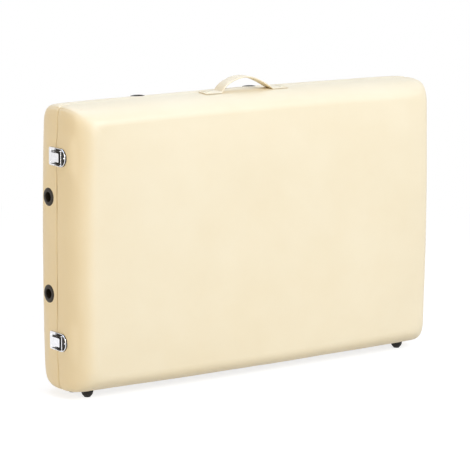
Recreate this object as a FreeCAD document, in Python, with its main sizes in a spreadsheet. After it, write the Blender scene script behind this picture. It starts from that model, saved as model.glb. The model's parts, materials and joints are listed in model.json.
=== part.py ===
import FreeCAD, Part

# Portable massage table of the two-section kind, folded shut like a suitcase and standing on
# its long edge.  X runs along the case, Y through its thickness and Z up from the floor.  The
# seam between the two halves is the plane y = 0: the front half lies at -Y, the rear half at +Y.
# The halves swing on two hinges at the +X end, and two latches close them at the -X end.  Each
# half is a padded deck on a beech frame that holds one leg frame, folded in beside the deck.
# Every level called "deep" is a distance from the seam into a half, every level called "high"
# is a distance from the middle height of the case towards either long rail, and a "reach" is
# a distance from a leg pivot along the folded leg.

import math
import os
import re
import Sketcher

FRONT, REAR = -1, 1
BELOW, ABOVE = -1, 1

DIMENSIONS = [
    # the case
    ("case_length", 930, "outside length of the folded case, end to end"),
    ("case_width", 590, "outside width of the folded case, which stands upright"),
    ("half_depth", 90, "thickness of one half, from the seam to the face of its cushion"),
    ("foot_gap", 10, "height of the case above the floor"),
    ("seam_gap", 1, "gap between the closed halves"),
    ("corner_round", 29, "radius of the four corners of the outline"),
    ("face_slope", 22, "bevel round the face of a cushion"),
    ("cushion_depth", 38, "foam and cover above the deck"),
    ("deck_thick", 4, "plywood deck"),
    ("cover_thick", 9, "foam edge and vinyl round the side of the frame"),
    # the beech frame
    ("rail_thick", 20, "thickness of the four rails"),
    ("corner_block", 36, "leg of a triangular corner block"),
    ("block_depth", 24, "depth of a corner block, measured off the deck"),
    # leg frames
    ("pivot_inset", 83, "leg pivot from the latch end of the case"),
    ("pivot_deep", 23, "leg pivot from the seam"),
    ("leg_width", 32, "width of a leg, along the depth of the case"),
    ("leg_thick", 16, "thickness of a leg"),
    ("leg_play", 1, "gap between the two members of a leg"),
    ("nest_front", 2, "gap from the side rail to the front legs"),
    ("nest_rear", 40, "gap from the side rail to the rear legs, which nest inside the front ones"),
    ("upper_reach", 436, "length of an upper leg beyond its pivot"),
    ("lower_start", 70, "reach at which a lower leg begins"),
    ("foot_reach", 534, "length of a leg beyond its pivot, drawn in"),
    ("leg_travel", 210, "how far a lower leg extends"),
    ("pivot_bolt", 8, "diameter of a leg pivot bolt"),
    ("packing_back", 17, "packing block of a rear leg, behind its pivot"),
    ("sleeve_wide", 14, "outside diameter of the spacer sleeve on a pivot bolt"),
    ("bolt_play", 0.05, "radial clearance of a turning bolt"),
    ("head_thick", 5, "thickness of a hexagon head or nut"),
    ("head_play", 0.3, "gap under the head of a bolt that a leg turns on"),
    ("clamp_bolt", 8, "diameter of the clamp and guide bolts of a leg"),
    ("guide_reach", 312, "reach of the guide bolt"),
    ("clamp_reach", 400, "reach of the clamp bolt under the star knob"),
    ("flat_head", 1.4, "thickness of the flat head of a leg bolt"),
    ("flat_head_play", 0.2, "gap between that head and the sliding leg"),
    ("slot_play", 0.3, "clearance each side of a bolt in a slot"),
    ("crossbar_reach", 355, "reach of the middle of the crossbar"),
    ("crossbar_wide", 34, "width of the crossbar along the leg"),
    ("crossbar_thick", 18, "thickness of the crossbar"),
    ("cap_length", 30, "length of a rubber foot cap"),
    ("cap_sole", 8, "rubber under the end of a leg"),
    ("cap_wall", 2.5, "wall of a foot cap"),
    ("cap_play", 0.1, "clearance of a foot cap on its tenon"),
    ("knob_wide", 34, "outside diameter of a star knob"),
    ("knob_thick", 14, "thickness of the head of a star knob"),
    ("knob_neck", 4, "length of the collar of a star knob"),
    ("knob_play", 0.3, "gap between a star knob and the leg"),
    ("knob_lobe", 9, "diameter of the finger hollows of a star knob"),
    # folding braces
    ("stay_leg_reach", 270, "reach of the brace pivot on an upper leg"),
    ("stay_deck_reach", 240, "reach of the brace pivot on the cross member"),
    ("stay_thick", 3, "thickness of a brace link"),
    ("stay_width", 16, "width of a brace link"),
    ("stay_play", 1, "gap beside a brace link"),
    ("stay_pin", 5, "diameter of a brace pivot"),
    ("pin_seat", 12, "depth to which a brace pivot is let into the cross member"),
    ("member_width", 34, "width of the cross member that carries the braces"),
    ("member_depth", 36, "depth of the cross member, measured off the deck"),
    # hinges
    ("hinge_spread", 350, "distance between the middles of the two hinges"),
    ("hinge_tall", 60, "length of a hinge"),
    ("leaf_wide", 28, "width of a hinge leaf from the pin"),
    ("leaf_thick", 2, "thickness of a hinge leaf"),
    ("knuckle_wide", 8, "outside diameter of a hinge knuckle"),
    ("hinge_pin", 4, "diameter of a hinge pin"),
    ("pin_play", 0.05, "radial clearance of a hinge or latch pin"),
    ("rivet_head", 2, "thickness of the head of a brace rivet"),
    ("rivet_play", 0.25, "gap between a rivet head and the link under it"),
    ("knuckle_play", 0.3, "gap between two knuckles"),
    ("hinge_room", 0.6, "clearance round a hinge let into the frame"),
    ("hinge_out", 0.5, "how far the hinge axis stands off the end of the case"),
    # latches
    ("latch_spread", 376, "distance between the middles of the two latches"),
    ("latch_tall", 37, "height of a latch plate"),
    ("latch_plate", 1.5, "thickness of a latch plate"),
    ("latch_rim", 2, "width of the raised rim of a latch base"),
    ("latch_rim_out", 3.2, "height of that rim off the end of the case"),
    ("latch_corner", 4, "corner radius of a catch plate"),
    ("base_edge", 2, "edge of a latch base, from the seam"),
    ("base_deep", 37, "rounded end of a latch base, from the seam"),
    ("catch_deep", 24, "far edge of a catch plate, from the seam"),
    ("lever_pivot_deep", 24, "lever pivot, from the seam on the front half"),
    ("lever_pivot_out", 5.2, "lever pivot off the end of the case"),
    ("lever_back", 1, "how far the lever runs behind its pivot"),
    ("lever_tip", 7, "tip of the lever, from the seam on the rear half"),
    ("lever_tall", 27, "height of a latch lever"),
    ("lever_out", 8.5, "outer face of a closed lever, off the end of the case"),
    ("lever_skin", 1.2, "sheet thickness of lever, ears and hook"),
    ("latch_pin", 2, "diameter of the latch pins"),
    ("ear_play", 0.3, "gap between an ear and a lever cheek"),
    ("hook_reach", 9, "hook pivot from the lever pivot"),
    ("hook_tall", 18, "height of a latch hook"),
    ("hook_gap", 0.4, "gap between the claw and the lip that it holds"),
    ("lip_deep", 12, "lip of a catch, from the seam"),
    ("lip_out", 4.4, "top of the lip, off the end of the case"),
    # handle
    ("handle_shift", -15, "middle of the handle along the case"),
    ("handle_span", 132, "inside length of the arch of the handle"),
    ("handle_tail", 42, "length of each flat tail of the handle"),
    ("handle_rise", 31, "height of the top of the arch above the case"),
    ("handle_deep", 24, "middle of the handle, from the seam"),
    ("strap_wide", 30, "width of the handle strap"),
    ("strap_thick", 5, "thickness of the handle strap"),
    ("plate_thick", 1.5, "steel plate that holds a tail of the handle"),
    ("plate_long", 12, "length of a handle plate"),
    # bushings and feet
    ("socket_bore", 20, "bore of a headrest or armrest bushing"),
    ("socket_flange", 37, "outside diameter of the flange of a bushing"),
    ("socket_wall", 2.5, "wall of a bushing"),
    ("socket_lip", 1.5, "thickness of the flange of a bushing"),
    ("socket_deep", 28, "headrest bushings, from the seam"),
    ("socket_spread", 198, "distance between the headrest bushings"),
    ("socket_shift", 4.5, "middle of the headrest bushings above the middle of the case"),
    ("armrest_flange", 32, "outside diameter of the flange of an armrest bushing"),
    ("armrest_spread", 286, "distance between the armrest bushings of one rail"),
    ("armrest_shift", -103, "middle of the armrest bushings along the case"),
    ("case_foot_wide", 25, "diameter of a case foot"),
    ("foot_sole_wide", 17, "diameter of a case foot at the floor"),
    ("case_foot_spread", 820, "distance between the case feet"),
    ("case_foot_deep", 27, "case foot from the seam"),
    ("screw_head", 7, "diameter of a screw head"),
    ("screw_shank", 3.5, "diameter of a screw"),
    ("screw_long", 14, "length of a screw"),
]

doc = FreeCAD.newDocument("massage_table")
sheet = doc.addObject("Spreadsheet::Sheet", "dims")
for row, (alias, value, note) in enumerate(DIMENSIONS, start=1):
    sheet.set(f"A{row}", note)
    sheet.set(f"B{row}", str(value))
    sheet.setAlias(f"B{row}", alias)
doc.recompute()
ALIASES = {alias for alias, value, note in DIMENSIONS}
SIZE = {alias: value for alias, value, note in DIMENSIONS}
SUBPARTS = []

# derived levels, written as expressions of the sheet
HALF_LENGTH = "case_length / 2"
MID = "foot_gap + case_width / 2"
SEAM = "seam_gap / 2"
RAIL_END = "(case_length / 2 - cover_thick)"
RAIL_HIGH = "(case_width / 2 - cover_thick)"
RAIL_INNER = f"({RAIL_HIGH} - rail_thick)"
DECK_NEAR = "(half_depth - cushion_depth - deck_thick)"
DECK_FAR = "(half_depth - cushion_depth)"
PIVOT_X = "(pivot_inset - case_length / 2)"
HINGE_X = "(case_length / 2 + hinge_out)"


# ---- building helpers --------------------------------------------------------------------

def bound(expression):
    """Point every dimension named in an expression at the sheet."""
    return re.sub(r"[a-z_]+", lambda word: "dims." + word.group() if word.group() in ALIASES
                  else word.group(), expression)


def level(expression):
    """Work out an expression of the sheet as a number."""
    return worked_out(bound(expression))


def worked_out(expression):
    probe = doc.addObject("App::FeaturePython", "probe")
    probe.addProperty("App::PropertyFloat", "Result")
    probe.setExpression("Result", expression)
    doc.recompute([probe])
    result = probe.Result
    doc.removeObject(probe.Name)
    return result


def tie(thing, prop, expression):
    thing.setExpression(prop, bound(expression))


def place(thing, x, y, z):
    """Bind the three coordinates of an object's placement."""
    tie(thing, "Placement.Base.x", x)
    tie(thing, "Placement.Base.y", y)
    tie(thing, "Placement.Base.z", z)


def about(middle, size):
    """Low and high expressions of a span centred on a level."""
    return f"({middle}) - ({size}) / 2", f"({middle}) + ({size}) / 2"


def deep(side, near, far):
    """Span along Y between two distances from the seam, in the front or the rear half."""
    return (near, far) if side == REAR else (f"-({far})", f"-({near})")


def high(way, near, far):
    """Span along Z between two distances from the middle height, above or below it."""
    if way == ABOVE:
        return f"{MID} + ({near})", f"{MID} + ({far})"
    return f"{MID} - ({far})", f"{MID} - ({near})"


def reach(near, far):
    """Span along X between two distances from the leg pivot, along the folded leg."""
    return f"{PIVOT_X} + ({near})", f"{PIVOT_X} + ({far})"


def signed(sign, expression):
    return expression if sign > 0 else f"-({expression})"


def block(name, x, y, z):
    """Box between low and high expressions on each axis."""
    piece = doc.addObject("Part::Box", name)
    for prop, (low, top) in (("Length", x), ("Width", y), ("Height", z)):
        tie(piece, prop, f"({top}) - ({low})")
    place(piece, x[0], y[0], z[0])
    return piece


STUD_SIDES = 8
NUT_SIDES = 6
BAR_END_SIDES = 12
TUBE_SIDES = 12
KNUCKLE_SIDES = 12
PLATE_END_SIDES = 24
FLANGE_SIDES = 24
LEG_END_SIDES = 20
FOOT_SIDES = 16
TURNS = {
    "X": FreeCAD.Rotation(FreeCAD.Vector(0, 1, 0), 90),
    "Y": FreeCAD.Rotation(FreeCAD.Vector(1, 0, 0), -90),
    "Z": FreeCAD.Rotation(),
}


def rod(name, axis, centre, span, radius):
    """Cylinder along an axis; centre gives its other two coordinates in X, Y, Z order."""
    piece = doc.addObject("Part::Cylinder", name)
    piece.Placement = FreeCAD.Placement(FreeCAD.Vector(), TURNS[axis])
    tie(piece, "Radius", radius)
    tie(piece, "Height", f"({span[1]}) - ({span[0]})")
    corner = list(centre)
    corner.insert("XYZ".index(axis), span[0])
    place(piece, *corner)
    return piece


def stud(name, axis, centre, span, radius, sides=STUD_SIDES):
    """Many-sided prism, for shanks and small round forms that repeat, and six-sided for nuts."""
    piece = doc.addObject("Part::Prism", name)
    piece.Polygon = sides
    piece.Placement = FreeCAD.Placement(FreeCAD.Vector(), TURNS[axis])
    tie(piece, "Circumradius", radius)
    tie(piece, "Height", f"({span[1]}) - ({span[0]})")
    corner = list(centre)
    corner.insert("XYZ".index(axis), span[0])
    place(piece, *corner)
    return piece


def fuse(name, pieces):
    joined = doc.addObject("Part::MultiFuse", name)
    joined.Shapes = pieces
    joined.Refine = True
    return joined


def cut(name, base, tools):
    """Take one or more tools away from a base."""
    carved = doc.addObject("Part::Cut", name)
    carved.Base = base
    carved.Tool = tools[0] if len(tools) == 1 else fuse(name + "_tools", tools)
    carved.Refine = True
    return carved


def common(name, base, tool):
    kept = doc.addObject("Part::Common", name)
    kept.Base = base
    kept.Tool = tool
    kept.Refine = True
    return kept


def subpart(name, pieces):
    """Make one labelled sub-part of a piece, or of a group of separate pieces."""
    if len(pieces) == 1:
        whole = pieces[0]
    else:
        whole = doc.addObject("Part::Compound", name + "_group")
        whole.Links = pieces
    whole.Label = name
    SUBPARTS.append(whole)
    return whole


PLANES = {"Z": "XY_Plane", "Y": "XZ_Plane", "X": "YZ_Plane"}


def sketch_in(body, axis, level_expression):
    """Sketch across an axis, at a level along that axis (a sketch across Y faces -Y)."""
    role = PLANES[axis]
    plane = [feature for feature in body.Origin.OriginFeatures if feature.Role == role][0]
    sketch = body.newObject("Sketcher::SketchObject", body.Name + "_sketch")
    sketch.AttachmentSupport = (plane, [""])
    sketch.MapMode = "FlatFace"
    offset = level_expression if axis != "Y" else f"-({level_expression})"
    tie(sketch, ".AttachmentOffset.Base.z", offset)
    return sketch


def draw_rectangle(sketch, first, second):
    """Closed rectangle between low and high expressions along the sketch's two axes."""
    low = FreeCAD.Vector(-1, -1, 0)
    top = FreeCAD.Vector(1, 1, 0)
    corners = [low, FreeCAD.Vector(1, -1, 0), top, FreeCAD.Vector(-1, 1, 0)]
    lines = []
    for index, corner in enumerate(corners):
        lines.append(sketch.addGeometry(Part.LineSegment(corner, corners[(index + 1) % 4])))
    for index, line in enumerate(lines):
        sketch.addConstraint(Sketcher.Constraint("Coincident", line, 2, lines[(index + 1) % 4], 1))
        sketch.addConstraint(Sketcher.Constraint("Vertical" if index % 2 else "Horizontal", line))
    for line, values in ((lines[0], (first[0], second[0])), (lines[2], (first[1], second[1]))):
        start = -1 if line == lines[0] else 1
        for kind, value in zip(("DistanceX", "DistanceY"), values):
            row = sketch.addConstraint(Sketcher.Constraint(kind, -1, 1, line, 1, float(start)))
            tie(sketch, f"Constraints[{row}]", value)


def draw_circle(sketch, first, second, radius):
    """Circle whose centre and radius are expressions."""
    circle = sketch.addGeometry(Part.Circle(FreeCAD.Vector(1, 1, 0), FreeCAD.Vector(0, 0, 1), 1))
    for kind, value in (("DistanceX", first), ("DistanceY", second)):
        row = sketch.addConstraint(Sketcher.Constraint(kind, -1, 1, circle, 3, 1.0))
        tie(sketch, f"Constraints[{row}]", value)
    row = sketch.addConstraint(Sketcher.Constraint("Radius", circle, 1.0))
    tie(sketch, f"Constraints[{row}]", radius)


def pad(body, sketch, length):
    feature = body.newObject("PartDesign::Pad", body.Name + "_pad")
    feature.Profile = sketch
    tie(feature, "Length", length)
    doc.recompute()
    return feature


def pocket(body, sketch, length, against_pad=True):
    """Cut a sketch away, by default back along the direction in which it would be padded."""
    feature = body.newObject("PartDesign::Pocket", body.Name + "_pocket")
    feature.Profile = sketch
    feature.Reversed = not against_pad
    tie(feature, "Length", length)
    doc.recompute()
    return feature


def edge_names(base, chosen):
    """Names of the edges of a feature that a test picks."""
    return [f"Edge{number}" for number, edge in enumerate(base.Shape.Edges, start=1) if chosen(edge)]


def round_edges(body, base, chosen, radius):
    """Fillet the edges of a feature that a test picks."""
    feature = body.newObject("PartDesign::Fillet", body.Name + "_round")
    feature.Base = (base, edge_names(base, chosen))
    tie(feature, "Radius", radius)
    doc.recompute()
    return feature


def runs_along(axis):
    """Test for straight edges along an axis."""
    direction = {"X": (1, 0, 0), "Y": (0, 1, 0), "Z": (0, 0, 1)}[axis]

    def test(edge):
        if edge.Curve.TypeId != "Part::GeomLine":
            return False
        return abs(edge.Curve.Direction.dot(FreeCAD.Vector(*direction))) > 0.999
    return test


def lies_at(axis, position):
    """Test for edges that lie wholly in the plane at a position along an axis."""
    index = "XYZ".index(axis)

    def test(edge):
        box = edge.BoundBox
        ends = ((box.XMin, box.XMax), (box.YMin, box.YMax), (box.ZMin, box.ZMax))[index]
        return abs(ends[0] - position) < 0.01 and abs(ends[1] - position) < 0.01
    return test


def rounded_prism(name, x, z, y, radius):
    """Body with a rectangular outline in X and Z, rounded corners and a span along Y."""
    body = doc.addObject("PartDesign::Body", name)
    sketch = sketch_in(body, "Y", y[1])
    draw_rectangle(sketch, x, z)
    feature = pad(body, sketch, f"({y[1]}) - ({y[0]})")
    round_edges(body, feature, runs_along("Y"), radius)
    return body


# ---- the two halves of the case ------------------------------------------------------------

NAMES = {FRONT: "front", REAR: "rear"}


def outline(inset):
    """X and Z spans of the case outline, drawn in by an inset."""
    return (about("0", f"case_length - 2 * ({inset})"), about(MID, f"case_width - 2 * ({inset})"))


def cushion(side):
    """Foam slab and its cover: rounded corners and a bevelled face."""
    name = NAMES[side] + "_cushion"
    x, z = outline("0")
    body = rounded_prism(name, x, z, deep(side, DECK_FAR, "half_depth"), "corner_round")
    slab = body.Tip
    bevel = body.newObject("PartDesign::Chamfer", name + "_bevel")
    bevel.Base = (slab, edge_names(slab, lies_at("Y", side * SIZE["half_depth"])))
    tie(bevel, "Size", "face_slope")
    return subpart(name, [body])


def cover_band(side):
    """The skirt of the cover, wrapped round the rails and turned in at the seam."""
    name = NAMES[side] + "_cover_band"
    span = deep(side, SEAM, DECK_FAR)
    x, z = outline("0")
    outer = rounded_prism(name + "_outer", x, z, span, "corner_round")
    x, z = outline("cover_thick")
    inner = rounded_prism(name + "_inner", x, z, span, "corner_round - cover_thick")
    tools = [inner] + hinge_recesses(side, name)
    if side == REAR:
        tools += socket_holes(name, "socket_bore / 2 + socket_wall")
        for way in (BELOW, ABOVE):
            tools += armrest_holes(name + way_name(way), way, "socket_bore / 2 + socket_wall")
    band = cut(name + "_skirt", outer, tools)
    return subpart(name, [band])


def deck(side):
    name = NAMES[side] + "_deck"
    x, z = outline("cover_thick")
    body = rounded_prism(name, x, z, deep(side, DECK_NEAR, DECK_FAR), "corner_round - cover_thick")
    return subpart(name, [body])


def frame_envelope(side, name):
    """Rounded outline of the frame, which trims the corners of the rails."""
    x, z = outline("cover_thick")
    return rounded_prism(name + "_envelope", x, z, deep(side, SEAM, DECK_NEAR),
                         "corner_round - cover_thick")


def side_rails(side):
    """The two long rails, bored for the leg pivots and, on the rear half, the armrest sockets."""
    name = NAMES[side] + "_side_rails"
    depth = deep(side, SEAM, DECK_NEAR)
    rails = []
    for way in (BELOW, ABOVE):
        tag = f"{name}_{'low' if way == BELOW else 'top'}"
        bar = block(tag + "_bar", about("0", f"2 * {RAIL_END}"), depth, high(way, RAIL_INNER, RAIL_HIGH))
        trimmed = common(tag + "_trimmed", bar, frame_envelope(side, tag))
        tools = [stud(tag + "_pivot", "Z", (PIVOT_X, signed(side, "pivot_deep")),
                      high(way, RAIL_INNER, f"{RAIL_INNER} + rail_thick * 3 / 4"), "pivot_bolt / 2")]
        if side == REAR:
            tools += armrest_holes(tag, way, "socket_bore / 2 + socket_wall")
        rails.append(cut(tag, trimmed, tools))
    return subpart(name, rails)


def end_rail(side, end):
    """A short rail between the long ones, at the latch end or the hinge end."""
    name = f"{NAMES[side]}_{'hinge' if end > 0 else 'latch'}_rail"
    near, far = f"{RAIL_END} - rail_thick", RAIL_END
    x = (near, far) if end > 0 else (f"-({far})", f"-({near})")
    bar = block(name + "_bar", x, deep(side, SEAM, DECK_NEAR), about(MID, f"2 * {RAIL_INNER}"))
    trimmed = common(name + "_trimmed", bar, frame_envelope(side, name))
    tools = []
    if end > 0:
        tools += hinge_recesses(side, name) + screw_pilots(side, name)
    elif side == REAR:
        tools += socket_holes(name, "socket_bore / 2 + socket_wall")
    rail = cut(name, trimmed, tools) if tools else trimmed
    return subpart(name, [rail])


def corner_blocks(side):
    """Triangular glue blocks in the four corners of the frame."""
    name = NAMES[side] + "_corner_blocks"
    blocks = []
    for end in (-1, 1):
        for way in (BELOW, ABOVE):
            tag = f"{name}_{end + 1}{way + 1}"
            wedge = doc.addObject("Part::Wedge", tag)
            wedge.Placement = FreeCAD.Placement(FreeCAD.Vector(), wedge_turn(end, way))
            for prop, value in (("Xmin", "0"), ("Ymin", "0"), ("Zmin", "0"), ("X2min", "0"), ("Z2min", "0"),
                                ("Xmax", "corner_block"), ("Zmax", "block_depth"), ("Ymax", "corner_block"),
                                ("X2max", "0.5"), ("Z2max", "block_depth")):
                tie(wedge, prop, value)
            low, top = deep(side, f"{DECK_NEAR} - block_depth", DECK_NEAR)
            depth = low if wedge_faces_up(end, way) else top
            corner = (signed(end, f"{RAIL_END} - rail_thick"), f"{MID} + ({signed(way, RAIL_INNER)})")
            place(wedge, corner[0], depth, corner[1])
            blocks.append(wedge)
    return subpart(name, blocks)


def wedge_turn(end, way):
    """Turn a wedge drawn along +X and +Y so that it fills a corner of the frame."""
    x_axis = FreeCAD.Vector(-end, 0, 0)
    y_axis = FreeCAD.Vector(0, 0, -way)
    return FreeCAD.Rotation(x_axis, y_axis, x_axis.cross(y_axis), "XYZ")


def wedge_faces_up(end, way):
    """Whether the turned wedge grows towards +Y."""
    return wedge_turn(end, way).multVec(FreeCAD.Vector(0, 0, 1)).y > 0


def cross_member(side):
    """Beech bar across the deck that carries the fixed ends of the two braces."""
    name = NAMES[side] + "_cross_member"
    x = about(f"{PIVOT_X} + stay_deck_reach", "member_width")
    y = deep(side, f"{DECK_NEAR} - member_depth", DECK_NEAR)
    half = f"({stay_level(side)} - stay_play * 3 - stay_thick * 2)"
    bar = block(name + "_bar", x, y, about(MID, f"2 * {half}"))
    holes = []
    for way in (BELOW, ABOVE):
        holes.append(stud(f"{name}_bore{way + 1}", "Z", stay_centre(side, "stay_deck_reach"),
                          high(way, f"{half} - pin_seat", half), "stay_pin / 2"))
    return subpart(name, [cut(name, bar, holes)])


# ---- hinges --------------------------------------------------------------------------------

KNUCKLES = 3


def hinge_middles():
    return [(way, f"{MID} + ({signed(way, 'hinge_spread / 2')})") for way in (BELOW, ABOVE)]


def hinge_recesses(side, owner):
    """Room for the leaves and knuckles in the corner of the frame at the hinge end."""
    tools = []
    for way, middle in hinge_middles():
        tag = f"{owner}_hinge{way + 1}"
        tall = about(middle, "hinge_tall + 2 * hinge_room")
        leaf = block(tag + "_leaf", (f"{HINGE_X} - leaf_wide - hinge_room", f"{HINGE_X} + hinge_room"),
                     deep(side, "0", f"{SEAM} + leaf_thick"), tall)
        barrel = stud(tag + "_barrel", "Z", (HINGE_X, "0"), tall, "knuckle_wide / 2 + 2 * hinge_room")
        tools += [leaf, barrel]
    return tools


def hinge_leaves(side):
    """A leaf with its own knuckles for each of the two hinges."""
    name = NAMES[side] + "_hinge_leaves"
    leaves = []
    for way, middle in hinge_middles():
        tag = f"{name}_{way + 1}"
        low, top = about(middle, "hinge_tall")
        leaf = block(tag + "_plate", (f"{HINGE_X} - leaf_wide", f"{HINGE_X} - knuckle_wide / 4"),
                     deep(side, SEAM, f"{SEAM} + leaf_thick"), (low, top))
        pieces, gaps = [], []
        for knuckle in range(KNUCKLES):
            ends = (f"{low} + hinge_tall * {knuckle} / {KNUCKLES} + knuckle_play / 2",
                    f"{low} + hinge_tall * {knuckle + 1} / {KNUCKLES} - knuckle_play / 2")
            mine = knuckle % 2 == (0 if side == FRONT else 1)
            if mine:
                pieces.append(stud(f"{tag}_knuckle{knuckle}", "Z", (HINGE_X, "0"), ends,
                                   "knuckle_wide / 2", KNUCKLE_SIDES))
            else:
                room = (f"{ends[0]} - knuckle_play", f"{ends[1]} + knuckle_play")
                gaps.append(block(f"{tag}_gap{knuckle}", about(HINGE_X, "knuckle_wide + 2 * knuckle_play"),
                                  about("0", "knuckle_wide"), room))
        plate = cut(tag + "_notched", leaf, gaps)
        shape, play = (stud, "0") if side == FRONT else (rod, "pin_play")
        bore = shape(tag + "_bore", "Z", (HINGE_X, "0"), (f"{low} - 1", f"{top} + 1"),
                     f"hinge_pin / 2 + {play}")
        holes = [stud(f"{tag}_screw{index}", "Y", centre, deep(side, "0", f"{SEAM} + leaf_thick"),
                      "screw_shank / 2", NUT_SIDES)
                 for index, centre in enumerate(hinge_screw_places(middle))]
        leaves.append(cut(tag, fuse(tag + "_blank", [plate] + pieces), [bore] + holes))
    return subpart(name, leaves)


def hinge_pins():
    pins = []
    for way, middle in hinge_middles():
        pins.append(stud(f"hinge_pins_{way + 1}", "Z", (HINGE_X, "0"), about(middle, "hinge_tall"),
                         "hinge_pin / 2"))
    return subpart("hinge_pins", pins)


def hinge_screw_places(middle):
    """X and Z of the three screws of a leaf."""
    far = f"{HINGE_X} - leaf_wide * 0.8"
    near = f"{HINGE_X} - leaf_wide * 0.6"
    return [(far, f"{middle} - hinge_tall / 3"), (near, f"{middle}"), (far, f"{middle} + hinge_tall / 3")]


def hinge_screws(side):
    """Screw shanks, flush with the leaves."""
    name = NAMES[side] + "_hinge_screws"
    screws = []
    for way, middle in hinge_middles():
        for index, centre in enumerate(hinge_screw_places(middle)):
            screws.append(stud(f"{name}_{way + 1}{index}", "Y", centre,
                               deep(side, SEAM, f"{SEAM} + screw_long"), "screw_shank / 2", NUT_SIDES))
    return subpart(name, screws)


def screw_pilots(side, owner):
    """Holes in the hinge rail that the leaf screws cut."""
    tools = []
    for way, middle in hinge_middles():
        for index, centre in enumerate(hinge_screw_places(middle)):
            tools.append(stud(f"{owner}_pilot{way + 1}{index}", "Y", centre,
                              deep(side, "0", f"{SEAM} + screw_long"), "screw_shank / 2", NUT_SIDES))
    return tools


# ---- headrest and armrest sockets ------------------------------------------------------------

def socket_middles():
    return [(way, f"{MID} + socket_shift + ({signed(way, 'socket_spread / 2')})")
            for way in (BELOW, ABOVE)]


def socket_holes(owner, radius):
    """Bores through the latch end of the rear half."""
    span = (f"-({HALF_LENGTH}) - 1", f"-({RAIL_END}) + rail_thick + 1")
    return [stud(f"{owner}_socket{way + 1}", "X", ("socket_deep", middle), span, radius, TUBE_SIDES)
            for way, middle in socket_middles()]


def headrest_bushings():
    """Flanged plastic bushings that take the two posts of a headrest."""
    name = "headrest_bushings"
    bushings = []
    for way, middle in socket_middles():
        tag = f"{name}_{way + 1}"
        centre = ("socket_deep", middle)
        inner = f"-({RAIL_END}) + rail_thick"
        tube = stud(tag + "_tube", "X", centre, (f"-({HALF_LENGTH})", inner),
                    "socket_bore / 2 + socket_wall", TUBE_SIDES)
        flange = stud(tag + "_flange", "X", centre, (f"-({HALF_LENGTH}) - socket_lip", f"-({HALF_LENGTH})"),
                      "socket_flange / 2", FLANGE_SIDES)
        bore = rod(tag + "_bore", "X", centre, (f"-({HALF_LENGTH}) - socket_lip - 1", f"{inner} + 1"),
                   "socket_bore / 2")
        bushings.append(cut(tag, fuse(tag + "_blank", [tube, flange]), [bore]))
    return subpart(name, bushings)


def armrest_middles():
    return [(end, f"armrest_shift + ({signed(end, 'armrest_spread / 2')})") for end in (-1, 1)]


def armrest_holes(owner, way, radius):
    """Bores through a long rail of the rear half."""
    span = high(way, f"{RAIL_INNER} - 1", "case_width / 2 + 1")
    return [stud(f"{owner}_armrest{end + 1}", "Z", (x, "socket_deep"), span, radius, TUBE_SIDES)
            for end, x in armrest_middles()]


def armrest_bushings():
    """Thin flanged bushings for side extensions, in both long rails of the rear half."""
    name = "armrest_bushings"
    bushings = []
    for way in (BELOW, ABOVE):
        for end, x in armrest_middles():
            tag = f"{name}_{way + 1}{end + 1}"
            centre = (x, "socket_deep")
            tube = stud(tag + "_tube", "Z", centre, high(way, RAIL_INNER, "case_width / 2"),
                        "socket_bore / 2 + socket_wall", TUBE_SIDES)
            flange = stud(tag + "_flange", "Z", centre,
                          high(way, "case_width / 2", "case_width / 2 + socket_lip"),
                          "armrest_flange / 2", FLANGE_SIDES)
            bore = rod(tag + "_bore", "Z", centre, high(way, f"{RAIL_INNER} - 1", "case_width / 2 + 3"),
                       "socket_bore / 2")
            bushings.append(cut(tag, fuse(tag + "_blank", [tube, flange]), [bore]))
    return subpart(name, bushings)


# ---- case feet and handle ---------------------------------------------------------------------

def case_feet(side):
    """Rubber feet under the lower long rail, narrower at the floor."""
    name = NAMES[side] + "_case_feet"
    feet = []
    for end in (-1, 1):
        tag = f"{name}_{end + 1}"
        centre = (signed(end, "case_foot_spread / 2"), signed(side, "case_foot_deep"))
        rings = []
        for radius, height in (("foot_sole_wide / 2", "0"), ("case_foot_wide / 2", "foot_gap")):
            ring = doc.addObject("Part::RegularPolygon", tag + "_ring")
            ring.Polygon = FOOT_SIDES
            tie(ring, "Circumradius", radius)
            place(ring, centre[0], centre[1], height)
            rings.append(ring)
        foot = doc.addObject("Part::Loft", tag)
        foot.Sections = rings
        foot.Solid = True
        foot.Ruled = True
        feet.append(foot)
    return subpart(name, feet)


HANDLE_TOP = f"({MID} + case_width / 2)"
ARCH_RISE = "(handle_rise - strap_thick)"
ARCH_RADIUS = f"(((handle_span / 2) ^ 2 + {ARCH_RISE} ^ 2) / (2 * {ARCH_RISE}))"


def handle_strap():
    """Padded strap: two flat tails on the case with an arch of one radius between them."""
    y = about("-handle_deep", "strap_wide")
    centre = ("handle_shift", f"{HANDLE_TOP} + {ARCH_RISE} - {ARCH_RADIUS}")
    outer = rod("handle_arch_outer", "Y", centre, y, f"{ARCH_RADIUS} + strap_thick")
    above = block("handle_arch_room", about("handle_shift", "handle_span + 2 * handle_tail"), y,
                  (HANDLE_TOP, f"{HANDLE_TOP} + handle_rise"))
    inner = rod("handle_arch_inner", "Y", centre, y, ARCH_RADIUS)
    arch = cut("handle_arch", common("handle_arch_top", outer, above), [inner])
    pieces = [arch]
    for end in (-1, 1):
        tail = (f"handle_shift + {signed(end, 'handle_span / 2')}",
                f"handle_shift + {signed(end, 'handle_span / 2 + handle_tail')}")
        pieces.append(block(f"handle_tail_{end + 1}", tail if end > 0 else tail[::-1], y,
                            (HANDLE_TOP, f"{HANDLE_TOP} + strap_thick")))
    return subpart("handle_strap", [fuse("handle_strap", pieces)])


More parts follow.
